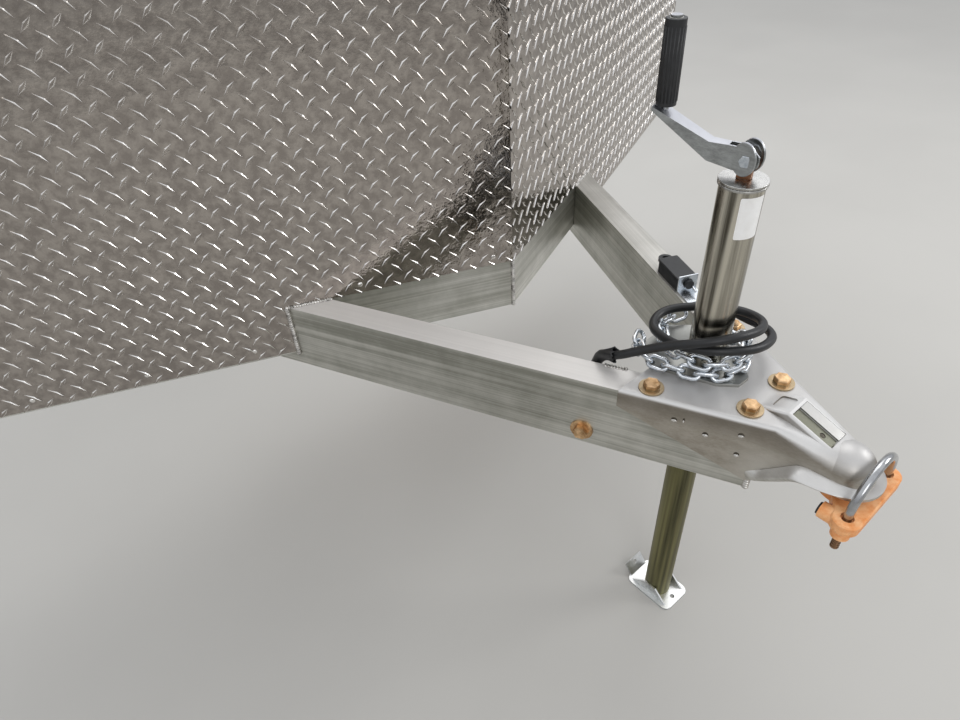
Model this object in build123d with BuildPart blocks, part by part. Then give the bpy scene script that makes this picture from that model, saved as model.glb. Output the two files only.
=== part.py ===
"""Front end of an enclosed cargo trailer: A-frame tongue with its fittings, and the V-nose
with its stone guard.

Millimetres. +X is the street side (the left of the trailer), -Y is forward, +Z is up. The origin
is the middle of the rear face of the first full-width crossmember, where this end meets the rest
of the trailer.
"""
import os
from math import atan2, cos, hypot, radians, sin, tan

from build123d import *

os.makedirs("parts", exist_ok=True)

# Frame: aluminium tubes, welded
body_width = 2133.6
nose_depth = 457.2
member_width = 50.8
member_height = 101.6
rail_height = 127.0
tube_wall = 3.2
rail_half_angle = 25.0
tongue_top_height = 603.0
weld_gap = 0.3

# Places along the centreline, from the jack's axis
jack_to_nose = 430.0
jack_to_rail_point = 242.5
jack_to_rail_front = 131.0

# Floor, wall frame and stone guard
deck_thickness = 19.0
stud_depth = 38.1
stud_width = 25.4
stud_wall = 2.0
stud_spacing = 406.4
guard_height = 762.0
guard_thickness = 1.6
guard_return = 25.0
guard_edge_lift = 4.0
guard_gap = 0.5

# Coupler: one stamped steel shell on top of the rails
coupler_steel = 4.8
coupler_clearance = 0.4
coupler_rear = 49.0
flange_rear_depth = 26.0
flange_front_depth = 108.0
coupler_edge_radius = 9.0
neck_front = 190.0
ball_ahead = 237.0
ball_drop = 40.0
socket_radius = 30.0
dome_steel = 5.0
lip_width = 13.0
ridge_width = 50.0
ridge_rear = 110.0
ridge_crest = 148.0
ridge_height = 12.5
slot_width = 38.0
slot_rear = 152.0
slot_front = 213.0
slot_end_height = 1.0
pocket_width = 28.0
pocket_length = 24.0
pocket_depth = 2.5
lever_strip_width = 20.0
lever_strip_depth = 3.0
lever_hole_radius = 4.0

# Jack: round tubes, the leg slides in the outer tube
jack_tube_radius = 28.575
jack_tube_wall = 2.8
jack_tube_top = 296.0
jack_tube_below = 200.0
jack_leg_radius = 25.4
jack_leg_wall = 2.8
jack_leg_overlap = 110.0
jack_flange_steel = 5.0
jack_flange_front = 67.0
jack_flange_rear = 92.0
jack_flange_tip = 24.0
jack_flange_lead = 33.6
jack_flange_width = 128.0
foot_thickness = 3.0
foot_length = 104.0
foot_width = 72.0
foot_tab_length = 30.0
foot_tab_width = 46.0
foot_tab_angle = 50.0
foot_hole_radius = 4.5
gusset_height = 26.0
gusset_reach = 16.0
cap_radius = 31.0
cap_thickness = 7.0
cap_groove = 1.0

# Crank: turns on the jack's axis, and its arm folds over the top bolt
crank_plan_angle = -14.0
spindle_radius = 9.0
spindle_height = 22.0
tang_width = 9.0
pivot_height = 25.0
pivot_bolt_radius = 4.0
arm_steel = 2.5
arm_gap = 0.6
arm_reach = 112.0
arm_elbow = 48.0
arm_rise = 32.0
arm_end_width = 28.0
arm_depth = 24.0
arm_end_depth = 5.0
ear_radius = 15.0
web_start = 24.0
bolt_play = 0.05
bolt_head_gap = 0.4
bolt_head_height = 5.0
grip_radius = 12.7
grip_length = 100.0
grip_pin_radius = 4.0
grip_head_radius = 7.0
grip_gap = 0.5

# Fasteners and chains
bolt_flange_radius = 18.5
bolt_flange_height = 2.5
bolt_head_radius = 12.2
bolt_head_depth = 9.0
bolt_head_chamfer = 1.2
rear_bolt_place = (103.0, 19.0)
front_bolt_place = (40.0, -103.0)
chain_bolt_back = 98.0
chain_bolt_up = 27.0
link_wire = 6.35
link_length = 38.0
link_width = 24.0
link_play = 1.7
links_per_chain = 13

# Coupler lock
lock_ahead = 270.5
lock_drop = 63.0
lock_thickness = 17.0
lock_depth = 38.0
lock_edge_chamfer = 2.0
lock_hole_radius = 8.5
lock_hole_depth = 6.0
shackle_half = 55.0
shackle_radius = 6.0
shackle_sides = 12
shackle_play = 0.05
shackle_rise = 7.0
insert_clearance = 0.4
insert_neck_radius = 16.0
insert_chamfer = 12.0
boss_radius = 12.5
boss_depth = 19.0
rod_out = 26.0
rod_grooves = 4
rod_groove_pitch = 4.6
rod_groove_depth = 1.0
key_radius = 9.0
key_length = 3.0
key_boss_radius = 12.0
key_boss_length = 14.0
key_drop = 4.0

# Breakaway switch, on the street rail's top
switch_at = 446.0
switch_aside = 3.0
switch_length = 72.0
switch_width = 36.0
switch_height = 26.0
switch_corner = 3.0
bracket_foot = 40.0
bracket_width = 36.0
bracket_height = 31.0
bracket_steel = 2.5
bracket_hole_radius = 9.0
plunger_radius = 8.0
plunger_length = 7.0
loop_radius = 13.0
loop_wire = 6.0

# Trailer cord, its gland and its plug
cord_radius = 6.8
cord_sides = 12
gland_radius = 15.9
gland_length = 22.0
plug_neck_radius = 12.0
plug_neck_length = 22.0
plug_radius = 21.0
plug_length = 62.0

# Working places, in the part's own frame
half_width = body_width / 2
rail_angle = radians(rail_half_angle)
frame_top = member_height / 2
ground_z = frame_top - tongue_top_height
nose_y = -member_width - nose_depth
jack_y = nose_y - jack_to_nose
rail_point_y = jack_y - jack_to_rail_point
rail_front_y = jack_y - jack_to_rail_front
guard_bottom = -frame_top + guard_edge_lift
guard_top = guard_bottom + guard_height
plate_top = frame_top + coupler_clearance + coupler_steel


def meet(first, second):
    """Point where two lines in plan cross; each line is (point, direction)."""
    (x1, y1), (a1, b1) = first
    (x2, y2), (a2, b2) = second
    step = ((x2 - x1) * b2 - (y2 - y1) * a2) / (a1 * b2 - b1 * a2)
    return x1 + step * a1, y1 + step * b1


def offset_line(line, distance):
    """The line moved sideways; positive is to the left of its direction."""
    (x, y), (a, b) = line
    size = hypot(a, b)
    return (x - b / size * distance, y + a / size * distance), (a, b)


def across(y):
    """A line across the trailer at y."""
    return (0.0, y), (1.0, 0.0)


def mirrored(points):
    """Plan points on the other side of the centreline."""
    return [(-x, y) for x, y in points]


def prism(points, bottom, height, mode=Mode.ADD):
    """Extrude a plan outline upwards from bottom."""
    with BuildSketch(Plane.XY.offset(bottom)) as plan:
        with BuildLine():
            Polyline(*points, close=True)
        make_face()
    extrude(plan.sketch, amount=height, mode=mode)


centreline = (0.0, 0.0), (0.0, 1.0)

# Curb-side lines in plan: all run from front to back, and left of them is the trailer's outside
rail_outer = (0.0, rail_point_y), (-sin(rail_angle), cos(rail_angle))
rail_inner = offset_line(rail_outer, -member_width)
nose_outer = (0.0, nose_y), (-half_width, nose_depth)
nose_inner = offset_line(nose_outer, -member_width)


def build_tube(outline, hollow, bottom, height, wall):
    """A hollow member of rectangular section, open at its ends."""
    prism(outline, bottom, height)
    prism(hollow, bottom + wall, height - 2 * wall, Mode.SUBTRACT)


# Tongue rails. Their front ends are cut across, and meet on the centreline
front_cut = (0.0, rail_front_y), (-1.0, 0.0)
rear_cut = (0.0, -member_width - weld_gap), (-1.0, 0.0)
mitre = (-weld_gap / 2, 0.0), (0.0, 1.0)
rail_outline = [
    meet(rail_outer, front_cut),
    meet(rail_outer, rear_cut),
    meet(rail_inner, rear_cut),
    meet(rail_inner, mitre),
    (-weld_gap / 2, rail_front_y),
]
hollow_front = rail_front_y + tube_wall
hollow_rear = rear_cut[0][1] + member_width
rail_hollow = [
    meet(offset_line(rail_outer, -tube_wall), across(hollow_front)),
    meet(offset_line(rail_outer, -tube_wall), across(hollow_rear)),
    meet(offset_line(rail_inner, tube_wall), across(hollow_rear)),
    meet(offset_line(rail_inner, tube_wall), offset_line(mitre, tube_wall)),
    (-tube_wall, hollow_front),
]
rail_bottom = frame_top - rail_height

for side, mirror_it in (("curb", False), ("street", True)):
    outline = mirrored(rail_outline) if mirror_it else rail_outline
    hollow = mirrored(rail_hollow) if mirror_it else rail_hollow
    with BuildPart() as rail:
        build_tube(outline, hollow, rail_bottom, rail_height, tube_wall)
    rail.part.label = f"rail_{side}"
    export_step(rail.part, f"parts/rail_{side}.step")

# Nose members: two between the rails that meet at the apex, and two outside the rails
rail_inner_gap = offset_line(rail_inner, -weld_gap)
rail_outer_gap = offset_line(rail_outer, weld_gap)
corner_cut = (0.0, -member_width - weld_gap), (1.0, 0.0)
members = {
    "nose_member_inner": (mitre, rail_inner_gap),
    "nose_member_outer": (rail_outer_gap, corner_cut),
}
for name, (front, rear) in members.items():
    outline = [meet(nose_outer, front), meet(nose_outer, rear), meet(nose_inner, rear), meet(nose_inner, front)]
    hollow = [
        meet(offset_line(nose_outer, -tube_wall), front),
        meet(offset_line(nose_outer, -tube_wall), rear),
        meet(offset_line(nose_inner, tube_wall), rear),
        meet(offset_line(nose_inner, tube_wall), front),
    ]
    for side, mirror_it in (("curb", False), ("street", True)):
        with BuildPart() as member:
            build_tube(
                mirrored(outline) if mirror_it else outline,
                mirrored(hollow) if mirror_it else hollow,
                -frame_top,
                member_height,
                tube_wall,
            )
        member.part.label = f"{name}_{side}"
        export_step(member.part, f"parts/{name}_{side}.step")

# First full-width crossmember
with BuildPart() as rear_crossmember:
    with BuildSketch(Plane.YZ.offset(-half_width)):
        with Locations((-member_width / 2, 0)):
            Rectangle(member_width, member_height)
            Rectangle(member_width - 2 * tube_wall, member_height - 2 * tube_wall, mode=Mode.SUBTRACT)
    extrude(amount=body_width)
rear_crossmember.part.label = "rear_crossmember"
export_step(rear_crossmember.part, "parts/rear_crossmember.step")

# Plywood floor inside the wall frame
stud_line = offset_line(nose_outer, -stud_depth - weld_gap)
deck_edge = half_width - stud_depth - weld_gap
deck_side = (-deck_edge, 0.0), (0.0, 1.0)
deck_front = meet(stud_line, centreline)
deck_corner = meet(stud_line, deck_side)
with BuildPart() as deck:
    prism(
        [deck_front, deck_corner, (-deck_edge, 0), (deck_edge, 0), (-deck_corner[0], deck_corner[1])],
        frame_top + weld_gap,
        deck_thickness,
    )
deck.part.label = "deck"
export_step(deck.part, "parts/deck.step")

# Wall frame: studs on the nose members, a post at the apex and at each corner, and a top girt
stud_foot = frame_top + weld_gap
girt_bottom = guard_top - stud_width
stud_height = girt_bottom - weld_gap - stud_foot
slope_length = hypot(half_width, nose_depth)
slope = (-half_width / slope_length, nose_depth / slope_length)
stud_inner = offset_line(nose_outer, -stud_depth)


def square_line(distance):
    """A line square to the nose face, at a distance along it from the apex."""
    x, y = slope[0] * distance, nose_y + slope[1] * distance
    return (x, y), (slope[1], -slope[0])


def stud_plan(centre, width, depth, cut):
    """Plan of one stud, its outer face flush with the nose face."""
    front, rear = square_line(centre - width / 2 + cut), square_line(centre + width / 2 - cut)
    outer, inner = offset_line(nose_outer, -cut), offset_line(nose_outer, cut - depth)
    return [meet(outer, front), meet(outer, rear), meet(inner, rear), meet(inner, front)]


with BuildPart() as nose_studs:
    for count in (1, 2):
        solid = stud_plan(count * stud_spacing, stud_width, stud_depth, 0.0)
        hollow = stud_plan(count * stud_spacing, stud_width, stud_depth, stud_wall)
        for plan, core in ((solid, hollow), (mirrored(solid), mirrored(hollow))):
            prism(plan, stud_foot, stud_height)
            prism(core, stud_foot, stud_height, Mode.SUBTRACT)
nose_studs.part.label = "nose_studs"
export_step(nose_studs.part, "parts/nose_studs.step")

apex_post_arm = 45.0
with BuildPart() as apex_post:
    end = square_line(apex_post_arm)
    half = [(0.0, nose_y), meet(nose_outer, end), meet(stud_inner, end), meet(stud_inner, centreline)]
    prism([*half, *reversed(mirrored(half[1:3]))], stud_foot, stud_height)
    core_end = square_line(apex_post_arm - stud_wall)
    core_outer, core_inner = offset_line(nose_outer, -stud_wall), offset_line(stud_inner, stud_wall)
    core = [
        meet(core_outer, centreline),
        meet(core_outer, core_end),
        meet(core_inner, core_end),
        meet(core_inner, centreline),
    ]
    prism([*core, *reversed(mirrored(core[1:3]))], stud_foot, stud_height, Mode.SUBTRACT)
apex_post.part.label = "apex_post"
export_step(apex_post.part, "parts/apex_post.step")

with BuildPart() as corner_posts:
    for sign in (-1, 1):
        with BuildSketch(Plane.XY.offset(stud_foot)):
            with Locations((sign * (half_width - stud_depth / 2), -member_width / 2)):
                Rectangle(stud_depth, member_width)
                Rectangle(stud_depth - 2 * stud_wall, member_width - 2 * stud_wall, mode=Mode.SUBTRACT)
        extrude(amount=guard_top - stud_foot)
corner_posts.part.label = "corner_posts"
export_step(corner_posts.part, "parts/corner_posts.step")

girt_corner = across(-member_width - weld_gap)
girt = [meet(nose_outer, mitre), meet(nose_outer, girt_corner), meet(stud_inner, girt_corner), meet(stud_inner, mitre)]
girt_core_outer, girt_core_inner = offset_line(nose_outer, -stud_wall), offset_line(stud_inner, stud_wall)
girt_core = [
    meet(girt_core_outer, mitre),
    meet(girt_core_outer, girt_corner),
    meet(girt_core_inner, girt_corner),
    meet(girt_core_inner, mitre),
]
for side, mirror_it in (("curb", False), ("street", True)):
    with BuildPart() as top_girt:
        build_tube(
            mirrored(girt) if mirror_it else girt,
            mirrored(girt_core) if mirror_it else girt_core,
            girt_bottom,
            stud_width,
            stud_wall,
        )
    top_girt.part.label = f"top_girt_{side}"
    export_step(top_girt.part, f"parts/top_girt_{side}.step")

# Stone guard: two sheets on the outside of the nose. The curb sheet turns round the apex
guard_back = offset_line(nose_outer, guard_gap / 2)
guard_face = offset_line(guard_back, guard_thickness)


def mirrored_line(line):
    """A plan line on the other side of the centreline."""
    (x, y), (a, b) = line
    return (-x, y), (-a, b)


corner_line = across(-member_width)
return_end = (-square_line(guard_return)[0][0], square_line(guard_return)[0][1]), (
    -square_line(guard_return)[1][0],
    square_line(guard_return)[1][1],
)
street_start_at = square_line(guard_return + guard_gap)
curb_sheet = [
    meet(guard_back, corner_line),
    meet(guard_back, centreline),
    meet(mirrored_line(guard_back), return_end),
    meet(mirrored_line(guard_face), return_end),
    meet(guard_face, centreline),
    meet(guard_face, corner_line),
]
street_sheet = mirrored(
    [
        meet(guard_back, street_start_at),
        meet(guard_back, corner_line),
        meet(guard_face, corner_line),
        meet(guard_face, street_start_at),
    ]
)
notch_side = offset_line(rail_outer, guard_gap)
notch = [(0.0, rail_point_y), meet(notch_side, across(0.0)), mirrored([meet(notch_side, across(0.0))])[0]]
for side, sheet in (("curb", curb_sheet), ("street", street_sheet)):
    with BuildPart() as guard:
        prism(sheet, guard_bottom, guard_height)
        prism(notch, guard_bottom, frame_top + guard_gap - guard_bottom, Mode.SUBTRACT)
    guard.part.label = f"stone_guard_{side}"
    export_step(guard.part, f"parts/stone_guard_{side}.step")

# Coupler: a stamped shell over the rails. Its section is drawn at the rear, at the neck and over the ball
flange_inner = offset_line(rail_outer, coupler_clearance)
flange_outer = offset_line(flange_inner, coupler_steel)
coupler_rear_y = jack_y + coupler_rear
neck_rear_y = jack_y - ridge_crest
neck_front_y = jack_y - neck_front
ball_y = jack_y - ball_ahead
ball_z = frame_top - ball_drop
dome_radius = socket_radius + dome_steel
lip_radius = dome_radius + lip_width
lip_bottom = ball_z - 2 * dome_steel
shoulder_y = rail_front_y - coupler_clearance
flange_front_bottom = frame_top - flange_front_depth
dome_flat = 0.5


def shell_section(y, half, top, radius):
    """An arched section across the coupler at y, open to well below its flanges."""
    left, right, bottom = -half, half, frame_top - 2 * rail_height
    with BuildSketch(Plane.XZ.offset(-y)) as section:
        with BuildLine():
            Line((left, bottom), (left, top - radius))
            RadiusArc((left, top - radius), (left + radius, top), radius)
            Line((left + radius, top), (right - radius, top))
            RadiusArc((right - radius, top), (right, top - radius), radius)
            Line((right, top - radius), (right, bottom))
            Line((right, bottom), (left, bottom))
        make_face()
    return section.sketch


def shell_half(flange, y):
    """Half width of the shell at y, measured to one of the flange's lines."""
    return -meet(flange, across(y))[0]


with BuildPart() as coupler_outside:
    loft(
        [
            shell_section(coupler_rear_y, shell_half(flange_outer, coupler_rear_y), plate_top, coupler_edge_radius),
            shell_section(neck_rear_y, shell_half(flange_outer, neck_rear_y), plate_top, coupler_edge_radius),
            shell_section(ball_y, dome_radius, ball_z + dome_radius, dome_radius - dome_flat),
        ],
        ruled=True,
    )
inner_edge_radius = coupler_edge_radius - coupler_steel
with BuildPart() as coupler_inside:
    loft(
        [
            shell_section(neck_rear_y, shell_half(flange_inner, neck_rear_y), frame_top + coupler_clearance,
                          inner_edge_radius),
            shell_section(ball_y, socket_radius, ball_z + socket_radius, socket_radius - dome_flat),
        ],
        ruled=True,
    )
    prism(
        [
            meet(flange_inner, across(coupler_rear_y + coupler_steel)),
            meet(flange_inner, across(neck_rear_y)),
            *reversed(mirrored([
                meet(flange_inner, across(coupler_rear_y + coupler_steel)),
                meet(flange_inner, across(neck_rear_y)),
            ])),
        ],
        frame_top - 2 * rail_height,
        2 * rail_height + coupler_clearance,
    )

# The ridge carries the latch lever's slot. It rises behind the slot and falls with it towards the dome
ridge_crest_z = plate_top + ridge_height
slot_front_y = jack_y - slot_front
slot_rear_y = jack_y - slot_rear
ridge_end_z = ball_z + dome_radius + slot_end_height
ridge_fall = atan2(ridge_crest_z - ridge_end_z, neck_rear_y - slot_front_y)
ridge_rise = atan2(ridge_height, jack_y - ridge_rear - neck_rear_y)
ridge_top = Plane(origin=(0, slot_front_y, ridge_end_z), x_dir=(1, 0, 0), z_dir=(0, -sin(ridge_fall), cos(ridge_fall)))
slot_length = (slot_rear_y - slot_front_y) / cos(ridge_fall)
with BuildPart() as ridge:
    with BuildSketch(Plane.YZ.offset(-ridge_width / 2)):
        with BuildLine():
            Polyline(
                (jack_y - ridge_rear, plate_top),
                (neck_rear_y, ridge_crest_z),
                (slot_front_y, ridge_end_z),
                (slot_front_y - coupler_steel, ridge_end_z - coupler_steel),
                (slot_front_y - coupler_steel, ball_z + socket_radius),
                (slot_front_y, ball_z + socket_radius + slot_end_height),
                (neck_rear_y, frame_top + coupler_clearance),
                (jack_y - ridge_rear, frame_top + coupler_clearance),
                close=True,
            )
        make_face()
    extrude(amount=ridge_width)
    long_edges = ridge.edges().filter_by(lambda edge: edge.center().Z > plate_top - 1 and abs(edge.center().X) > 1)
    fillet(long_edges, coupler_steel)
    pocket = Plane(origin=(0, jack_y - ridge_rear, plate_top), x_dir=(1, 0, 0), z_dir=(0, sin(ridge_rise), cos(ridge_rise)))
    with BuildSketch(pocket.offset(-pocket_depth)):
        with Locations((0, -(ridge_crest - ridge_rear) / 2 / cos(ridge_rise) - coupler_steel / 2)):
            RectangleRounded(pocket_width, pocket_length, coupler_steel)
    extrude(amount=2 * coupler_steel, mode=Mode.SUBTRACT)

with BuildPart() as coupler:
    add(coupler_outside.part)
    with Locations((0, ball_y, ball_z)):
        Sphere(dome_radius)
    with BuildSketch(Plane.XY.offset(frame_top - 2 * rail_height)):
        with Locations((0, ball_y)):
            Circle(dome_radius)
    extrude(amount=ball_z - frame_top + 2 * rail_height)
    # The flanges' sloping lower edges, level under the ball
    with BuildSketch(Plane.YZ.offset(-half_width)):
        with BuildLine():
            Polyline(
                (coupler_rear_y + member_width, frame_top - flange_rear_depth),
                (coupler_rear_y, frame_top - flange_rear_depth),
                (shoulder_y, flange_front_bottom),
                (neck_front_y, lip_bottom),
                (ball_y - 2 * lip_radius, lip_bottom),
                (ball_y - 2 * lip_radius, frame_top - 3 * rail_height),
                (coupler_rear_y + member_width, frame_top - 3 * rail_height),
                close=True,
            )
        make_face()
    extrude(amount=body_width, mode=Mode.SUBTRACT)

# The lip turns out along the lower edge, from the rails' ends round the socket
lip_half = [
    (-shell_half(flange_outer, shoulder_y), shoulder_y),
    (-dome_radius - 2 * lip_width, neck_front_y),
    (-lip_radius, ball_y),
]
with BuildPart() as lip:
    prism([*lip_half, *reversed(mirrored(lip_half))], flange_front_bottom, frame_top - flange_front_bottom)
    with BuildSketch(Plane.XY.offset(flange_front_bottom)):
        with Locations((0, ball_y)):
            Circle(lip_radius)
    extrude(amount=frame_top - flange_front_bottom)
    with BuildSketch(Plane.YZ.offset(-half_width)):
        with BuildLine():
            Polyline(
                (shoulder_y, flange_front_bottom),
                (neck_front_y, lip_bottom),
                (ball_y - 2 * lip_radius, lip_bottom),
                (ball_y - 2 * lip_radius, lip_bottom + coupler_steel),
                (neck_front_y, lip_bottom + coupler_steel),
                (shoulder_y, flange_front_bottom + coupler_steel),
                close=True,
            )
        make_face()
    extrude(amount=body_width, mode=Mode.INTERSECT)
with BuildPart() as coupler_shell:
    add(coupler.part)
    add(lip.part)
    add(ridge.part)
    add(coupler_inside.part, mode=Mode.SUBTRACT)
    with Locations((0, ball_y, ball_z)):
        Sphere(socket_radius, mode=Mode.SUBTRACT)
        Cylinder(socket_radius, 2 * dome_steel, align=(Align.CENTER, Align.CENTER, Align.MAX), mode=Mode.SUBTRACT)
    with BuildSketch(ridge_top.offset(-3 * coupler_steel)):
        with Locations((0, slot_length / 2)):
            Rectangle(slot_width, slot_length)
    extrude(amount=4 * coupler_steel, mode=Mode.SUBTRACT)
    with BuildSketch(Plane.XY.offset(frame_top)):
        with Locations((0, jack_y)):
            Circle(jack_tube_radius + weld_gap)
    extrude(amount=2 * coupler_steel, mode=Mode.SUBTRACT)
coupler_shell.part.label = "coupler"
export_step(coupler_shell.part, "parts/coupler.step")

# Latch lever in the slot: a channel with its low strip and pin hole on the curb side
with BuildPart() as latch_lever:
    with BuildSketch(ridge_top.offset(-coupler_steel)):
        with Locations((0, slot_length / 2)):
            Rectangle(slot_width - 2 * weld_gap, slot_length - 2 * weld_gap)
    extrude(amount=coupler_steel)
    strip_place = (weld_gap + lever_strip_width - slot_width) / 2, slot_length / 2
    with BuildSketch(ridge_top.offset(-lever_strip_depth)):
        with Locations(strip_place):
            Rectangle(lever_strip_width, slot_length)
    extrude(amount=coupler_steel, mode=Mode.SUBTRACT)
    with BuildSketch(ridge_top.offset(-coupler_steel)):
        with Locations((strip_place[0], slot_width / 2)):
            Circle(lever_hole_radius)
    extrude(amount=coupler_steel, mode=Mode.SUBTRACT)
latch_lever.part.label = "latch_lever"
export_step(latch_lever.part, "parts/latch_lever.step")

# Jack: outer tube through the coupler plate
jack_top = frame_top + jack_tube_top
jack_tube_bottom = frame_top - jack_tube_below
with BuildPart() as jack_tube:
    with BuildSketch(Plane.XY.offset(jack_tube_bottom)):
        with Locations((0, jack_y)):
            Circle(jack_tube_radius)
            Circle(jack_tube_radius - jack_tube_wall, mode=Mode.SUBTRACT)
    extrude(amount=jack_top - jack_tube_bottom)
    # The mounting flange, welded round the tube: a triangle with cut corners
    flange_half = [
        (-jack_flange_tip / 2, jack_y - jack_flange_front),
        (-jack_flange_lead, jack_y - jack_flange_front + jack_flange_tip),
        (-jack_flange_width / 2, jack_y + coupler_rear - jack_flange_tip / 2),
        (-jack_flange_width / 2, jack_y + coupler_rear + jack_flange_tip / 2),
        (-jack_flange_lead, jack_y + jack_flange_rear),
    ]
    prism([*flange_half, *reversed(mirrored(flange_half))], plate_top, jack_flange_steel)
    with BuildSketch(Plane.XY.offset(plate_top)):
        with Locations((0, jack_y)):
            Circle(jack_tube_radius - jack_tube_wall)
    extrude(amount=jack_flange_steel, mode=Mode.SUBTRACT)
jack_tube.part.label = "jack_tube"
export_step(jack_tube.part, "parts/jack_tube.step")

with BuildPart() as jack_cap:
    with BuildSketch(Plane.XZ.offset(-jack_y)):
        disc = (cap_thickness - cap_groove) / 2
        with BuildLine():
            Polyline(
                (spindle_radius + arm_gap, jack_top),
                (cap_radius, jack_top),
                (cap_radius, jack_top + disc),
                (cap_radius - cap_groove, jack_top + disc),
                (cap_radius - cap_groove, jack_top + disc + cap_groove),
                (cap_radius, jack_top + disc + cap_groove),
                (cap_radius, jack_top + cap_thickness),
                (spindle_radius + arm_gap, jack_top + cap_thickness),
                close=True,
            )
        make_face()
    revolve(axis=Axis((0, jack_y, 0), (0, 0, 1)))
jack_cap.part.label = "jack_cap"
export_step(jack_cap.part, "parts/jack_cap.step")

with BuildPart() as jack_leg:
    with BuildSketch(Plane.XY.offset(ground_z + foot_thickness)):
        with Locations((0, jack_y)):
            Circle(jack_leg_radius)
            Circle(jack_leg_radius - jack_leg_wall, mode=Mode.SUBTRACT)
    extrude(amount=jack_tube_bottom + jack_leg_overlap - ground_z - foot_thickness)
jack_leg.part.label = "jack_leg"
export_step(jack_leg.part, "parts/jack_leg.step")

with BuildPart() as jack_foot:
    with BuildSketch(Plane.XY.offset(ground_z)):
        with Locations((0, jack_y)):
            RectangleRounded(foot_width, foot_length, foot_width / 5)
        with Locations((0, jack_y - foot_length / 2 + 3 * foot_hole_radius)):
            Circle(foot_hole_radius, mode=Mode.SUBTRACT)
    extrude(amount=foot_thickness)
    # The rear edge turns up in a tab with a hole
    tab_angle = radians(foot_tab_angle)
    tab = Plane(
        origin=(0, jack_y + foot_length / 2 - foot_thickness, ground_z),
        x_dir=(1, 0, 0),
        z_dir=(0, -sin(tab_angle), cos(tab_angle)),
    )
    with BuildSketch(tab):
        with Locations((0, foot_tab_length / 2)):
            Rectangle(foot_tab_width, foot_tab_length)
        with Locations((0, foot_tab_length - 2 * foot_hole_radius)):
            Circle(foot_hole_radius, mode=Mode.SUBTRACT)
    extrude(amount=foot_thickness)
    # Two gussets stand against the leg's sides
    gusset_face = jack_leg_radius + weld_gap
    for sign in (-1, 1):
        with BuildSketch(Plane.YZ.offset(sign * (gusset_face + foot_thickness / 2) - foot_thickness / 2)):
            with BuildLine():
                Polyline(
                    (jack_y - jack_leg_radius - gusset_reach, ground_z + foot_thickness),
                    (jack_y + jack_leg_radius + gusset_reach, ground_z + foot_thickness),
                    (jack_y + jack_leg_radius / 2, ground_z + foot_thickness + gusset_height),
                    (jack_y - jack_leg_radius / 2, ground_z + foot_thickness + gusset_height),
                    close=True,
                )
            make_face()
        extrude(amount=foot_thickness)
jack_foot.part.label = "jack_foot"
export_step(jack_foot.part, "parts/jack_foot.step")

# Crank: spindle with a flat tang, arm of bent channel, bolt and grip
cap_top = jack_top + cap_thickness
pivot_z = cap_top + pivot_height
crank_plane = Plane(origin=(0, jack_y, 0), x_dir=(-sin(radians(-crank_plan_angle)), cos(radians(crank_plan_angle)), 0),
                    z_dir=(cos(radians(crank_plan_angle)), sin(radians(-crank_plan_angle)), 0))
with BuildPart() as crank_spindle:
    with BuildSketch(Plane.XY.offset(jack_top - spindle_height)):
        with Locations((0, jack_y)):
            Circle(spindle_radius)
    extrude(amount=spindle_height + cap_thickness + arm_gap)
    with BuildSketch(crank_plane.offset(-tang_width / 2)):
        with BuildLine():
            Polyline(
                (-spindle_radius, cap_top + arm_gap),
                (spindle_radius, cap_top + arm_gap),
                (spindle_radius, pivot_z),
                (-spindle_radius, pivot_z),
                close=True,
            )
        make_face()
        with Locations((0, pivot_z)):
            Circle(spindle_radius)
            Circle(pivot_bolt_radius + 0.05, mode=Mode.SUBTRACT)
    extrude(amount=tang_width)
crank_spindle.part.label = "crank_spindle"
export_step(crank_spindle.part, "parts/crank_spindle.step")

ear_inner = tang_width / 2 + arm_gap
elbow_z = pivot_z + ear_radius
grip_seat_z = elbow_z + arm_rise
arm_end = arm_reach + grip_radius
arm_side = [
    (0, pivot_z + ear_radius),
    (arm_elbow, elbow_z),
    (arm_end, grip_seat_z),
    (arm_end, grip_seat_z - arm_end_depth),
    (arm_elbow, elbow_z - arm_depth),
    (ear_radius, pivot_z - ear_radius),
    (0, pivot_z - ear_radius),
]


def taper(ear_half, end_half):
    """Plan of the arm, narrow at the ears and wide at the grip."""
    return [
        (-2 * ear_radius, -ear_half),
        (arm_elbow / 2, -ear_half),
        (arm_end, -end_half),
        (2 * arm_end, -end_half),
        (2 * arm_end, end_half),
        (arm_end, end_half),
        (arm_elbow / 2, ear_half),
        (-2 * ear_radius, ear_half),
    ]


arm_plan_plane = Plane(origin=(0, jack_y, frame_top), x_dir=crank_plane.x_dir, z_dir=(0, 0, 1))
end_half = arm_end_width / 2
with BuildPart() as arm_core:
    with BuildSketch(crank_plane.offset(-arm_end_width)):
        with BuildLine():
            Polyline(
                (web_start, elbow_z + ear_radius),
                (web_start, elbow_z - arm_steel),
                (arm_elbow, elbow_z - arm_steel),
                (arm_end - arm_steel, grip_seat_z - arm_steel),
                (arm_end - arm_steel, pivot_z - 2 * ear_radius),
                (-2 * ear_radius, pivot_z - 2 * ear_radius),
                (-2 * ear_radius, elbow_z + ear_radius),
                close=True,
            )
        make_face()
    extrude(amount=2 * arm_end_width)
    with BuildSketch(arm_plan_plane):
        with BuildLine():
            Polyline(*taper(ear_inner, end_half - arm_steel), close=True)
        make_face()
    extrude(amount=2 * jack_tube_top, mode=Mode.INTERSECT)
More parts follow.
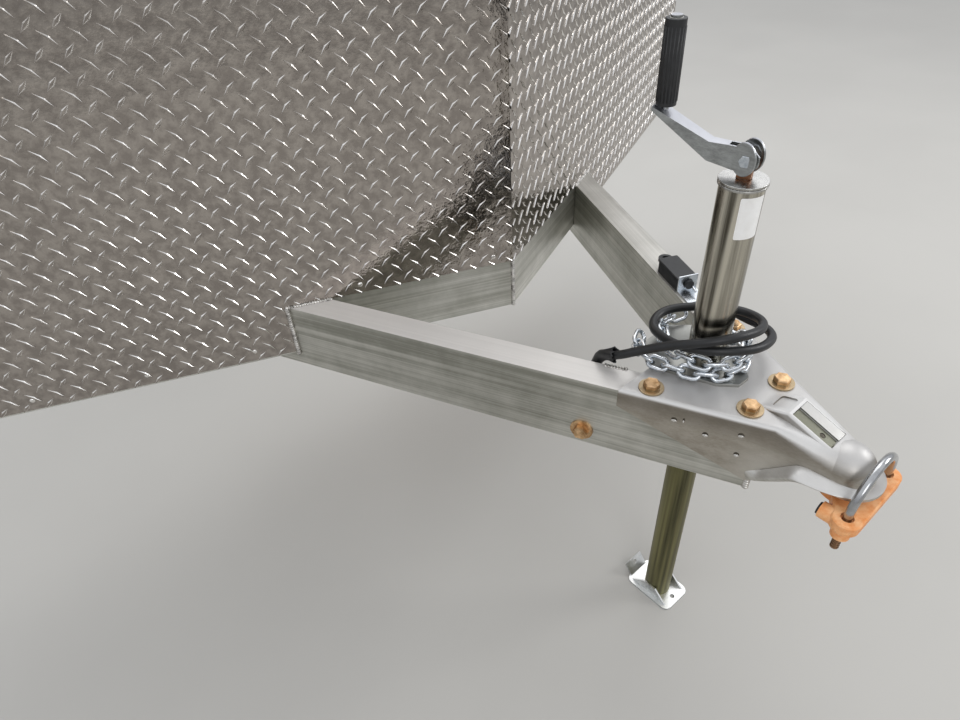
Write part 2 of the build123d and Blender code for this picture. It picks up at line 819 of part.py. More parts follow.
with BuildPart() as crank_arm:
    with BuildSketch(crank_plane.offset(-arm_end_width)):
        with BuildLine():
            Polyline(*arm_side, close=True)
        make_face()
        with Locations((0, pivot_z)):
            RegularPolygon(ear_radius, 8, major_radius=False, rotation=22.5)
    extrude(amount=2 * arm_end_width)
    with BuildSketch(arm_plan_plane):
        with BuildLine():
            Polyline(*taper(ear_inner + arm_steel, end_half), close=True)
        make_face()
    extrude(amount=2 * jack_tube_top, mode=Mode.INTERSECT)
    add(arm_core.part, mode=Mode.SUBTRACT)
    with BuildSketch(crank_plane.offset(-arm_end_width)):
        with Locations((0, pivot_z)):
            Circle(pivot_bolt_radius + bolt_play)
    extrude(amount=2 * arm_end_width, mode=Mode.SUBTRACT)
    with BuildSketch(arm_plan_plane.offset(grip_seat_z - frame_top)):
        with Locations((arm_reach, 0)):
            Circle(grip_pin_radius)
    extrude(amount=grip_length + grip_gap)
    with BuildSketch(arm_plan_plane.offset(grip_seat_z - frame_top - arm_end_depth)):
        with Locations((arm_reach, 0)):
            Circle(grip_pin_radius)
    extrude(amount=arm_end_depth)
    with BuildSketch(arm_plan_plane.offset(grip_seat_z - frame_top + grip_length + grip_gap)):
        with Locations((arm_reach, 0)):
            Circle(grip_head_radius)
    extrude(amount=arm_steel)
crank_arm.part.label = "crank_arm"
export_step(crank_arm.part, "parts/crank_arm.step")

ear_outer = ear_inner + arm_steel
with BuildPart() as crank_bolt:
    with BuildSketch(crank_plane.offset(-ear_outer - bolt_head_gap)):
        with Locations((0, pivot_z)):
            Circle(pivot_bolt_radius)
    extrude(amount=2 * (ear_outer + bolt_head_gap))
    for offset in (-ear_outer - bolt_head_gap - bolt_head_height, ear_outer + bolt_head_gap):
        with BuildSketch(crank_plane.offset(offset)):
            with Locations((0, pivot_z)):
                RegularPolygon(2 * pivot_bolt_radius, 6)
        extrude(amount=bolt_head_height)
crank_bolt.part.label = "crank_bolt"
export_step(crank_bolt.part, "parts/crank_bolt.step")

with BuildPart() as crank_grip:
    with BuildSketch(arm_plan_plane.offset(grip_seat_z - frame_top + grip_gap)):
        with Locations((arm_reach, 0)):
            Circle(grip_radius)
            Circle(grip_pin_radius + bolt_play, mode=Mode.SUBTRACT)
    extrude(amount=grip_length - grip_gap)
crank_grip.part.label = "crank_grip"
export_step(crank_grip.part, "parts/crank_grip.step")

# Bolts: four through the coupler plate, and one through the side of each rail for a chain
bolt_places = [rear_bolt_place, front_bolt_place]
bolt_places += mirrored(bolt_places)
with BuildPart() as coupler_bolts:
    for x, y in bolt_places:
        with BuildSketch(Plane.XY.offset(plate_top)):
            with Locations((x, jack_y + y)):
                Circle(bolt_flange_radius)
        extrude(amount=bolt_flange_height)
        with BuildSketch(Plane.XY.offset(plate_top + bolt_flange_height)):
            with Locations((x, jack_y + y)):
                RegularPolygon(bolt_head_radius, 6)
        extrude(amount=bolt_head_depth)
    head_tops = coupler_bolts.faces().filter_by(Axis.Z).group_by(Axis.Z)[-1]
    chamfer(head_tops.edges(), bolt_head_chamfer)
coupler_bolts.part.label = "coupler_bolts"
export_step(coupler_bolts.part, "parts/coupler_bolts.step")

chain_bolt_y = jack_y + chain_bolt_back
chain_bolt_z = frame_top - rail_height + chain_bolt_up
with BuildPart() as chain_bolts:
    for sign in (-1, 1):
        face = meet(rail_outer, across(chain_bolt_y))
        axis = (-sign * cos(rail_angle), sin(rail_angle), 0)
        plane = Plane(origin=(-sign * face[0], chain_bolt_y, chain_bolt_z), z_dir=axis)
        for start, radius, length in (
            (-bolt_flange_height, bolt_flange_radius, bolt_flange_height),
            (-bolt_flange_height - bolt_head_depth, bolt_head_radius, bolt_head_depth),
            (member_width, bolt_head_radius, bolt_head_depth),
        ):
            with BuildSketch(plane.offset(start)) as disc:
                if radius > bolt_head_radius:
                    Circle(radius)
                else:
                    RegularPolygon(radius, 6)
            extrude(disc.sketch, amount=length)
chain_bolts.part.label = "chain_bolts"
export_step(chain_bolts.part, "parts/chain_bolts.step")

# Safety chains: welded links of round wire, drawn with flat sides. They lie heaped on the coupler plate round
# the jack. Every other link is turned a quarter about the chain's line, and each hangs in the next
link_pitch = link_length - 2 * link_wire - link_play
wire_flat = link_wire * (1 - tan(radians(22.5))) / 2
link_lift = (link_width - link_wire) / 2 * sin(radians(45)) + link_wire / 2 + weld_gap


def link_plan(reach):
    """Outline of a link at a distance from its wire's middle line: straight sides, and ends of three flats."""
    half_long, half_wide = (link_length - link_wire) / 2 + reach, (link_width - link_wire) / 2 + reach
    cut = half_wide * (1 - tan(radians(22.5)))
    corner = [(half_long - cut, half_wide), (half_long, half_wide - cut)]
    front = [*corner, *[(x, -y) for x, y in reversed(corner)]]
    return [*front, *[(-x, -y) for x, y in front]]


with BuildPart() as link:
    for start, low, high in (
        (-link_wire / 2, link_wire / 2 - wire_flat, link_wire / 2),
        (-link_wire / 2 + wire_flat, link_wire / 2, link_wire / 2),
        (link_wire / 2 - wire_flat, link_wire / 2, link_wire / 2 - wire_flat),
    ):
        thick = link_wire - 2 * wire_flat if low == high else wire_flat
        with BuildSketch(Plane.XY.offset(start)) as bottom_ring:
            with BuildLine():
                Polyline(*link_plan(low), close=True)
            make_face()
            with BuildLine():
                Polyline(*link_plan(-low), close=True)
            make_face(mode=Mode.SUBTRACT)
        with BuildSketch(Plane.XY.offset(start + thick)) as top_ring:
            with BuildLine():
                Polyline(*link_plan(high), close=True)
            make_face()
            with BuildLine():
                Polyline(*link_plan(-high), close=True)
            make_face(mode=Mode.SUBTRACT)
        loft([bottom_ring.sketch, top_ring.sketch], ruled=True)

# Lines of the two chains in plan, from the jack's axis, with the height of the link's middle over the jack's
# flange. The curb chain lies lowest, and the street chain lies on it
chain_lines = {
    "curb": [(-28, 100, 0), (-52, 88, 0), (-68, 62, 0), (-66, 34, 0), (-57, 8, 0), (-48, -12, 0), (-35, -32, 0),
             (-14, -46, 0), (10, -52, 0), (34, -46, 0), (54, -28, 0), (64, 0, 0), (64, 30, 0), (56, 58, 0)],
    "street": [(58, 84, 6), (30, 92, 4), (2, 84, 7), (-20, 66, 9), (-35, 44, 11), (-43, 22, 15), (-46, -3, 19),
               (-38, -28, 19), (-16, -46, 19), (10, -51, 19), (34, -44, 19), (52, -24, 19), (58, 4, 19), (52, 34, 19)],
}
for side, line in chain_lines.items():
    with BuildPart() as chain:
        with BuildLine(mode=Mode.PRIVATE):
            curve = Spline(*[(x, jack_y + y, plate_top + jack_flange_steel + link_lift + z) for x, y, z in line])
        for count in range(links_per_chain):
            start, end = (
                curve.position_at(link_pitch * (count + step), position_mode=PositionMode.LENGTH) for step in (0, 1)
            )
            along = end - start
            place = Plane(origin=(start + end) / 2, x_dir=along, z_dir=along.cross(Vector(0, 0, 1).cross(along)))
            add(place.location * Rotation(45 if count % 2 else -45, 0, 0) * link.part)
    chain.part.label = f"safety_chain_{side}"
    export_step(chain.part, f"parts/safety_chain_{side}.step")

# Coupler lock: a cast body under the socket, a round shackle over the dome, and a key barrel
lock_y = jack_y - lock_ahead
lock_top = frame_top - lock_drop
insert_radius = socket_radius - insert_clearance

with BuildPart() as lock_body:
    with BuildSketch(Plane.XY.offset(lock_top - lock_thickness)) as ears:
        with BuildLine():
            Polyline(
                (-shackle_half, lock_y - lock_depth / 2),
                (shackle_half, lock_y - lock_depth / 2),
                (shackle_half, lock_y + lock_depth / 2),
                (insert_radius, ball_y),
                (-insert_radius, ball_y),
                (-shackle_half, lock_y + lock_depth / 2),
                close=True,
            )
        make_face()
        with Locations((-shackle_half, lock_y), (shackle_half, lock_y)):
            Circle(lock_depth / 2)
        with Locations((0, ball_y)):
            Circle(insert_radius)
    extrude(amount=lock_thickness)
    chamfer(lock_body.faces().filter_by(Axis.Z).group_by(Axis.Z)[-1].edges(), lock_edge_chamfer)
    with BuildSketch(Plane.XY.offset(lock_top)):
        with Locations((0, ball_y)):
            Circle(insert_neck_radius)
    extrude(amount=lip_bottom - lock_top)
    with BuildSketch(Plane.XY.offset(lip_bottom)):
        with Locations((0, ball_y)):
            Circle(insert_radius)
    insert = extrude(amount=ball_z - lip_bottom + insert_chamfer)
    chamfer(insert.faces().sort_by(Axis.Z)[-1].edges(), insert_chamfer)
    # Round boss under the near leg, and the key barrel's boss behind it
    with BuildSketch(Plane.XY.offset(lock_top - lock_thickness - boss_depth)):
        with Locations((-shackle_half, lock_y)):
            Circle(boss_radius)
    extrude(amount=boss_depth)
    with BuildSketch(Plane.XZ.offset(-lock_y)):
        with Locations((-shackle_half, lock_top - lock_thickness / 2 - key_drop)):
            Circle(key_boss_radius)
    extrude(amount=-lock_depth / 2 - key_boss_length)
    for sign in (-1, 1):
        with BuildSketch(Plane.XY.offset(lock_top - lock_thickness - boss_depth)):
            with Locations((sign * shackle_half, lock_y)):
                Circle(shackle_radius + shackle_play)
        extrude(amount=lock_thickness + boss_depth, mode=Mode.SUBTRACT)
        with BuildSketch(Plane.XY.offset(lock_top - lock_hole_depth)):
            with Locations((sign * shackle_half, lock_y)):
                Circle(lock_hole_radius)
        extrude(amount=lock_hole_depth, mode=Mode.SUBTRACT)
lock_body.part.label = "lock_body"
export_step(lock_body.part, "parts/lock_body.step")

# Shackle: a round rod bent over the dome, drawn with flat sides. Its near leg comes out of the boss with
# grooves for the lock
arch_z = lock_top + shackle_rise
rod_end_z = lock_top - lock_thickness - boss_depth - rod_out
with BuildPart() as lock_shackle:
    with BuildLine() as path:
        Line((-shackle_half, lock_y, rod_end_z), (-shackle_half, lock_y, arch_z))
        ThreePointArc((-shackle_half, lock_y, arch_z), (0, lock_y, arch_z + shackle_half), (shackle_half, lock_y, arch_z))
        Line((shackle_half, lock_y, arch_z), (shackle_half, lock_y, lock_top - lock_thickness))
    with BuildSketch(Plane(origin=path.line @ 0, z_dir=path.line % 0)):
        RegularPolygon(shackle_radius, shackle_sides)
    sweep(path=path.line)
    for count in range(rod_grooves):
        with BuildSketch(Plane.XY.offset(rod_end_z + (count + 0.6) * rod_groove_pitch)):
            with Locations((-shackle_half, lock_y)):
                Circle(2 * shackle_radius)
                Circle(shackle_radius - rod_groove_depth, mode=Mode.SUBTRACT)
        extrude(amount=rod_groove_pitch / 2, mode=Mode.SUBTRACT)
lock_shackle.part.label = "lock_shackle"
export_step(lock_shackle.part, "parts/lock_shackle.step")

with BuildPart() as key_barrel:
    with BuildSketch(Plane.XZ.offset(-(lock_y + lock_depth / 2 + key_boss_length))):
        with Locations((-shackle_half, lock_top - lock_thickness / 2 - key_drop)):
            Circle(key_radius)
    extrude(amount=-key_length)
key_barrel.part.label = "key_barrel"
export_step(key_barrel.part, "parts/key_barrel.step")

# Breakaway switch on the street rail, on its bent bracket
rail_along = Plane(
    origin=(0, rail_point_y, frame_top),
    x_dir=(sin(rail_angle), cos(rail_angle), 0),
    z_dir=(0, 0, 1),
)
switch_middle = member_width / 2 + switch_aside
switch_face = switch_at - switch_length / 2
with BuildPart() as switch_bracket:
    with BuildSketch(rail_along.offset(weld_gap)):
        with Locations((switch_face - bracket_foot / 2, switch_middle)):
            Rectangle(bracket_foot, bracket_width)
    extrude(amount=bracket_steel)
    upright = Plane(rail_along.offset(weld_gap).from_local_coords((switch_face - weld_gap, switch_middle, 0)),
                    x_dir=rail_along.y_dir, z_dir=rail_along.x_dir * -1)
    with BuildSketch(upright):
        with Locations((0, -bracket_height / 2)):
            Rectangle(bracket_width, bracket_height)
        with Locations((0, -bracket_height / 2)):
            Circle(bracket_hole_radius, mode=Mode.SUBTRACT)
    extrude(amount=bracket_steel)
switch_bracket.part.label = "switch_bracket"
export_step(switch_bracket.part, "parts/switch_bracket.step")

with BuildPart() as breakaway_switch:
    with BuildSketch(rail_along.offset(weld_gap)):
        with Locations((switch_at, switch_middle)):
            RectangleRounded(switch_length, switch_width, switch_corner)
    extrude(amount=switch_height)
    # The pull pin's socket comes through the bracket's hole
    with BuildSketch(upright.offset(-switch_corner)):
        with Locations((0, -bracket_height / 2)):
            Circle(plunger_radius)
    extrude(amount=switch_corner + bracket_steel + plunger_length)
    with BuildSketch(rail_along.offset(weld_gap + switch_height - 2 * loop_wire)):
        with Locations((switch_at + switch_length / 2 + loop_radius - loop_wire, switch_middle)):
            Circle(loop_radius)
            Circle(loop_radius - loop_wire, mode=Mode.SUBTRACT)
    extrude(amount=loop_wire)
breakaway_switch.part.label = "breakaway_switch"
export_step(breakaway_switch.part, "parts/breakaway_switch.step")

# Trailer cord: out of its gland inside the curb rail, round the jack, and over the street rail
cord_route = [
    (-99.7, 130, -62), (-99.7, 130, -20), (-100, 112, 12), (-103, 84, 28), (-88, 58, 44), (-71, 26, 62), (-53, -17, 81),
    (-24, -44, 88), (14, -55, 82), (52, -52, 71), (81, -34, 61), (92, -4, 54), (86, 27, 50), (69, 54, 48),
    (36, 88, 45), (4, 97, 44), (-29, 83, 44), (-44, 52, 49), (-51, 14, 56), (-45, -22, 65.5), (-20, -50, 67),
    (12, -65, 61), (44, -67, 54), (76, -59, 46), (99, -36, 38), (104, -4, 33), (108, 26, 31), (135, 58, 28),
    (168, 80, 16), (188, 92, -18), (196, 94, -60), (198, 92, -106),
]
route = [(x, jack_y + y, frame_top + z) for x, y, z in cord_route]


def bend_radii(points):
    """Radius of each corner's arc: 0.45 of the shorter run over the tangent of half the turn."""
    radii = []
    for before, corner, after in zip(points, points[1:], points[2:]):
        first, second = Vector(*corner) - Vector(*before), Vector(*after) - Vector(*corner)
        turn = radians(first.get_angle(second))
        radii.append(0.45 * min(first.length, second.length) / tan(turn / 2))
    return radii


radii = bend_radii(route)
print("cord radii mm", [round(radius) for radius in radii])
with BuildPart() as trailer_cord:
    with BuildLine() as path:
        FilletPolyline(*route, radius=radii)
    with BuildSketch(Plane(origin=path.line @ 0, z_dir=path.line % 0)) as cord_section:
        RegularPolygon(cord_radius, cord_sides)
    sweep(path=path.line)
trailer_cord.part.label = "trailer_cord"
export_step(trailer_cord.part, "parts/trailer_cord.step")
expected = cord_section.sketch.area * path.wire().length
print("cord length mm", round(path.wire().length), "volume", round(trailer_cord.part.volume), "expected", round(expected))

with BuildPart() as cord_gland:
    with BuildSketch(Plane.XY.offset(route[0][2] - gland_length)):
        with Locations(route[0][:2]):
            Circle(gland_radius)
    extrude(amount=gland_length)
cord_gland.part.label = "cord_gland"
export_step(cord_gland.part, "parts/cord_gland.step")

plug_end = Vector(*route[-1])
plug_axis = (plug_end - Vector(*route[-2])).normalized()
with BuildPart() as cord_plug:
    with BuildSketch(Plane(origin=plug_end, z_dir=plug_axis)):
        Circle(plug_neck_radius)
    extrude(amount=plug_neck_length)
    with BuildSketch(Plane(origin=plug_end + plug_axis * plug_neck_length, z_dir=plug_axis)):
        Circle(plug_radius)
    extrude(amount=plug_length)
cord_plug.part.label = "cord_plug"
export_step(cord_plug.part, "parts/cord_plug.step")
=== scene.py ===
"""Front end of an enclosed cargo trailer: A-frame tongue with its fittings, V-nose with its stone guard."""
import bmesh
import bpy
import numpy
from math import atan2, cos, pi, radians, sin
from mathutils import Matrix, Vector


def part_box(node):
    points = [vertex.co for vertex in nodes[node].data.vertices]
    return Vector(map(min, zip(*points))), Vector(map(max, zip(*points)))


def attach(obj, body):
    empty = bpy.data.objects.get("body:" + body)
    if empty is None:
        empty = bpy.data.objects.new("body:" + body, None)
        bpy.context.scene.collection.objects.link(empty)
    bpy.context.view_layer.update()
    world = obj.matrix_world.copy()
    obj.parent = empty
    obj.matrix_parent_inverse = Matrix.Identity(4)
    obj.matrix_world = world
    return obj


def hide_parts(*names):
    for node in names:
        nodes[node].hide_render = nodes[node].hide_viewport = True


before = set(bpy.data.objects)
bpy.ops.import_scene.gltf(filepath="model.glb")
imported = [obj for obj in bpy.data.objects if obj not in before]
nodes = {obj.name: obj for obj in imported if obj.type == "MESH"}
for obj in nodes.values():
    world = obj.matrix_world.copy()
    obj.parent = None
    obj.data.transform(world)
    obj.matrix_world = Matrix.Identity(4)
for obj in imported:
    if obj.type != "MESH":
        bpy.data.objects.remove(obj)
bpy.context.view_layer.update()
sides = (("curb", -1), ("street", 1))


def standing(place, x, y, z):
    """Matrix that stands a shape at a place, with its own axes along the three directions."""
    return Matrix.Translation(place) @ Matrix((x, y, z)).transposed().to_4x4()


# The camera stands at the photograph's place beside the tongue and looks down along it. Its lens and
# its three directions come from the tongue's straight edges in the photograph.
camera = bpy.data.objects.new("camera", bpy.data.cameras.new("camera"))
camera.data.sensor_width = 36.0
camera.data.lens = 25.205
to_right = Vector((0.75801, -0.65039, -0.04914))
to_top = Vector((0.44510, 0.46075, 0.76785))
ahead = Vector((0.47676, 0.60391, -0.63874))
camera.matrix_world = standing((-0.7435, -1.3312, 0.7277), to_right, to_top, -ahead)
bpy.context.scene.collection.objects.link(camera)
bpy.context.scene.camera = camera
bpy.context.scene.view_settings.view_transform = "Standard"


def tone(code):
    """An sRGB hex value as the linear colour that a node takes."""
    parts = [int(code[i:i + 2], 16) / 255 for i in (1, 3, 5)]
    return (*[p / 12.92 if p <= 0.04045 else ((p + 0.055) / 1.055) ** 2.4 for p in parts], 1.0)


def add(tree, kind, values=None, links=None, shades=(), **settings):
    """A new node: values set its sockets, links join them, shades are the (position, hex) ends of its
    ramp, and settings are its own options."""
    node = tree.nodes.new(kind)
    for name, value in settings.items():
        setattr(node, name, value)
    for socket, value in (values or {}).items():
        node.inputs[socket].default_value = value
    for socket, source in (links or {}).items():
        tree.links.new(source, node.inputs[socket])
    for element, (position, code) in zip(node.color_ramp.elements if shades else (), shades):
        element.position, element.color = position, tone(code)
    return node


def finish_material(name, **sockets):
    """A new material with the shader's own sockets set; returns it with its tree and shader."""
    material = bpy.data.materials.new(name)
    material.use_nodes = True
    shader = material.node_tree.nodes["Principled BSDF"]
    for socket, value in sockets.items():
        shader.inputs[socket.replace("_", " ")].default_value = value
    return material, material.node_tree, shader


def paint_lit_tops(tree, shader, ramp, colour, rise, cover, matt):
    """A painted highlight: the faces that look up are painted paler, as if lit from above. It starts and ends where
    the normal's height passes the two values of rise, hides cover of the ramp's colour, and matt of it isn't metal."""
    facing = add(tree, "ShaderNodeNewGeometry")
    up = add(tree, "ShaderNodeSeparateXYZ", links={"Vector": facing.outputs["Normal"]})
    painted_top_light = add(tree, "ShaderNodeMapRange",
               {"From Min": rise[0], "From Max": rise[1], "To Min": 0.0, "To Max": cover}, {"Value": up.outputs["Z"]})
    pale = add(tree, "ShaderNodeMix", {7: tone(colour)}, {0: painted_top_light.outputs["Result"], 6: ramp.outputs["Color"]},
               data_type="RGBA")
    tree.links.new(pale.outputs[2], shader.inputs["Base Color"])
    metal_off_lit_tops = add(tree, "ShaderNodeMath", {1: -matt, 2: 1.0}, {0: painted_top_light.outputs["Result"]}, operation="MULTIPLY_ADD")
    tree.links.new(metal_off_lit_tops.outputs[0], shader.inputs["Metallic"])


def dress(node, material):
    """A CAD node in its material."""
    mesh = nodes[node].data
    mesh.materials.clear()
    mesh.materials.append(material)


def soften(node, width, angle=30):
    """Rolls the sharp edges of a CAD node, as the real metal has them, with smooth shading between."""
    piece = nodes[node]
    mesh = piece.data
    if "custom_normal" in mesh.attributes:
        mesh.attributes.remove(mesh.attributes["custom_normal"])
    for face in mesh.polygons:
        face.use_smooth = True
    weld = piece.modifiers.new("weld", "WELD")
    weld.merge_threshold = 1e-5
    edges = piece.modifiers.new("rolled edges", "BEVEL")
    edges.width, edges.segments, edges.limit_method, edges.angle_limit = width, 2, "ANGLE", radians(angle)
    edges.harden_normals = True


# Tongue rails and nose members: 2 inch wide extruded 6061 tube, left as it came from the mill and welded
# up. The die leaves fine lines and broad bands along each tube, and handling a faint bloom across them.
def extruded_aluminium(name, turn, colour, shine, lit_top_cover=0.8, tilt=0.0):
    """Mill finish on a tube that runs turned about Z, or tilted upright about X."""
    material, tree, shader = finish_material(name, Metallic=1.0)
    where = add(tree, "ShaderNodeTexCoord")
    along = add(tree, "ShaderNodeMapping", {"Rotation": (tilt, 0, turn)}, {"Vector": where.outputs["Object"]})
    # 3 mm die lines, and bands of about 18 mm, both stretched along the tube
    fine_at = add(tree, "ShaderNodeMapping", {"Scale": (330, 2, 330)}, {"Vector": along.outputs["Vector"]})
    fine = add(tree, "ShaderNodeTexNoise", {"Scale": 1.0, "Detail": 3.0}, {"Vector": fine_at.outputs["Vector"]})
    band_at = add(tree, "ShaderNodeMapping", {"Scale": (55, 0.8, 55)}, {"Vector": along.outputs["Vector"]})
    band = add(tree, "ShaderNodeTexNoise", {"Scale": 1.0, "Detail": 2.0}, {"Vector": band_at.outputs["Vector"]})
    bloom = add(tree, "ShaderNodeTexNoise", {"Scale": 9.0, "Detail": 5.0, "Roughness": 0.65},
                {"Vector": along.outputs["Vector"]})
    lines = add(tree, "ShaderNodeMix", {"Factor": 0.45}, {2: band.outputs["Fac"], 3: fine.outputs["Fac"]},
                data_type="FLOAT")
    mixed = add(tree, "ShaderNodeMix", {"Factor": 0.35}, {2: lines.outputs[0], 3: bloom.outputs["Fac"]},
                data_type="FLOAT")
    ramp = add(tree, "ShaderNodeValToRGB", links={"Fac": mixed.outputs[0]},
               shades=((0.41, colour[0]), (0.6, colour[1])))
    # painted highlight: the faces that look up are painted paler, as if lit from above
    paint_lit_tops(tree, shader, ramp, "#e1ddd9", (0.5, 0.95), lit_top_cover, 1.0)
    rough = add(tree, "ShaderNodeMapRange",
                {"From Min": 0.3, "From Max": 0.7, "To Min": shine - 0.04, "To Max": shine + 0.14},
                {"Value": mixed.outputs[0]})
    tree.links.new(rough.outputs["Result"], shader.inputs["Roughness"])
    bump = add(tree, "ShaderNodeBump", {"Strength": 0.25, "Distance": 0.0004}, {"Height": lines.outputs[0]})
    tree.links.new(bump.outputs["Normal"], shader.inputs["Normal"])
    return material


rail_turn = radians(25.0)  # the A-frame's angle is 50 degrees
nose_turn = atan2(1066.8, 457.2)  # half the nose's width over its depth, in mm
mill, bright_mill = ("#98988f", "#cdccc5"), ("#b2b2aa", "#e6e5e0")
dress("rail_curb", extruded_aluminium("mill aluminium, curb rail", -rail_turn, mill, 0.34))
dress("rail_street", extruded_aluminium("mill aluminium, street rail", rail_turn, mill, 0.38, 0.35))
for side, sign in sides:
    nose_tube = extruded_aluminium(f"mill aluminium, {side} nose", sign * nose_turn, bright_mill, 0.36, 0.45)
    for node in (f"nose_member_inner_{side}", f"nose_member_outer_{side}", f"top_girt_{side}"):
        dress(node, nose_tube)
        soften(node, 0.0012)
    soften(f"rail_{side}", 0.0012)
dress("rear_crossmember", extruded_aluminium("mill aluminium, crossmember", pi / 2, mill, 0.36))
upright = extruded_aluminium("mill aluminium, posts", 0.0, mill, 0.36, tilt=pi / 2)
for node in ("nose_studs", "apex_post", "corner_posts"):
    dress(node, upright)
    soften(node, 0.0012)

# Floor of the nose: 19 mm fir plywood laid on the frame, seen only from behind and below. Its face grain
# runs across the trailer, in bands some 17 mm broad.
plywood, tree, shader = finish_material("fir plywood", Roughness=0.62)
where = add(tree, "ShaderNodeTexCoord")
grain_at = add(tree, "ShaderNodeMapping", {"Scale": (4, 60, 60)}, {"Vector": where.outputs["Object"]})
grain = add(tree, "ShaderNodeTexNoise", {"Scale": 1.0, "Detail": 6.0, "Distortion": 1.2},
            {"Vector": grain_at.outputs["Vector"]})
ramp = add(tree, "ShaderNodeValToRGB", links={"Fac": grain.outputs["Fac"]},
           shades=((0.0, "#a8794a"), (1.0, "#d9b688")))
tree.links.new(ramp.outputs["Color"], shader.inputs["Base Color"])
dress("deck", plywood)


# Stone guard: 1.6 mm polished aluminium tread plate, riveted to the nose. Rolled lozenge lugs stand on it in two
# directions, turn about, and their flanks are painted brighter than the sheet, a painted highlight.
def mottled(name, dark, light, noise, ends=(0.0, 1.0), **sockets):
    """A finish whose colour drifts between two shades. Returns the material and what its section goes on
    from: its tree, shader, coordinates, noise and ramp."""
    material, tree, shader = finish_material(name, **sockets)
    where = add(tree, "ShaderNodeTexCoord")
    drift = add(tree, "ShaderNodeTexNoise", noise, {"Vector": where.outputs["Object"]})
    ramp = add(tree, "ShaderNodeValToRGB", links={"Fac": drift.outputs["Fac"]}, shades=zip(ends, (dark, light)))
    tree.links.new(ramp.outputs["Color"], shader.inputs["Base Color"])
    return material, tree, shader, where, drift, ramp


def cloudy(name, dark, light, scale, rough, metallic=1.0):
    """A mottled finish whose roughness drifts with its colour; scale is its noise's, in 1/m."""
    noise = {"Scale": scale, "Detail": 4.0}
    material, tree, shader, _, drift, _ = mottled(name, dark, light, noise, (0.36, 0.64), Metallic=metallic)
    dull = add(tree, "ShaderNodeMapRange",
               {"From Min": 0.35, "From Max": 0.65, "To Min": rough[0], "To Max": rough[1]},
               {"Value": drift.outputs["Fac"]})
    tree.links.new(dull.outputs["Result"], shader.inputs["Roughness"])
    return material


# the sheet between two lugs is never quite flat: dents about 20 mm across
# its colour is a darker, browner grey than bare polished aluminium: a painted reflection of dark ground
polished, tree, shader, where, dents, _ = mottled(
    "polished aluminium sheet", "#97908a", "#afa8a1", {"Scale": 62.0, "Detail": 3.5, "Roughness": 0.6}, (0.4, 0.62),
    Metallic=1.0)
scuff = add(tree, "ShaderNodeTexNoise", {"Scale": 120.0, "Detail": 4.0}, {"Vector": where.outputs["Object"]})
rough = add(tree, "ShaderNodeMapRange", {"From Min": 0.35, "From Max": 0.7, "To Min": 0.05, "To Max": 0.14},
            {"Value": scuff.outputs["Fac"]})
tree.links.new(rough.outputs["Result"], shader.inputs["Roughness"])
bump = add(tree, "ShaderNodeBump", {"Strength": 0.9, "Distance": 0.0011}, {"Height": dents.outputs["Fac"]})
tree.links.new(bump.outputs["Normal"], shader.inputs["Normal"])
dress("stone_guard_curb", polished)
dress("stone_guard_street", polished)
# painted highlight: the lugs' flanks are painted a brighter aluminium than the sheet; the rivet heads take the same
# material
painted_sheen_aluminium = cloudy("bright aluminium lugs", "#dedad5", "#f6f4f1", 45.0, (0.14, 0.26))

nose_run, nose_fall = 0.91913, 0.39392  # a guard sheet's direction seen from above
nose_face = Vector((0, -0.5082 - 0.0018 / cos(radians(23.2)), 0))  # the sheets' fronts meet here
face_length, face_low, face_high = 1.1606, -0.0468, 0.7152
notch, plate_low = 0.431, 0.0513  # over the rails the sheet starts higher up
lug_pitch, lug_height = 0.0363, 0.0019
first_lug = (0.003, 0.0146 - 3 * lug_pitch)
lug_reach = 0.0275  # no lug at the notch reaches farther past its edges


def nose_frame(sign):
    """Matrix from a guard sheet's own (along, up, out) to the part's frame; sign is -1 on the curb side."""
    along, out = Vector((sign * nose_run, nose_fall, 0)), Vector((sign * nose_fall, -nose_run, 0))
    return standing(nose_face, along, Vector((0, 0, 1)), out)


def whole(bm):
    """All of a mesh, as the operators take it."""
    return bm.verts[:] + bm.edges[:] + bm.faces[:]


def keep(name, bm, material, body="frame", smooth=True):
    """A finished mesh as a piece of the object, riding on its body."""
    mesh = bpy.data.meshes.new(name)
    bm.to_mesh(mesh)
    bm.free()
    for face in mesh.polygons:
        face.use_smooth = smooth
    mesh.materials.append(material)
    piece = bpy.data.objects.new(name, mesh)
    bpy.context.scene.collection.objects.link(piece)
    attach(piece, body)
    return piece


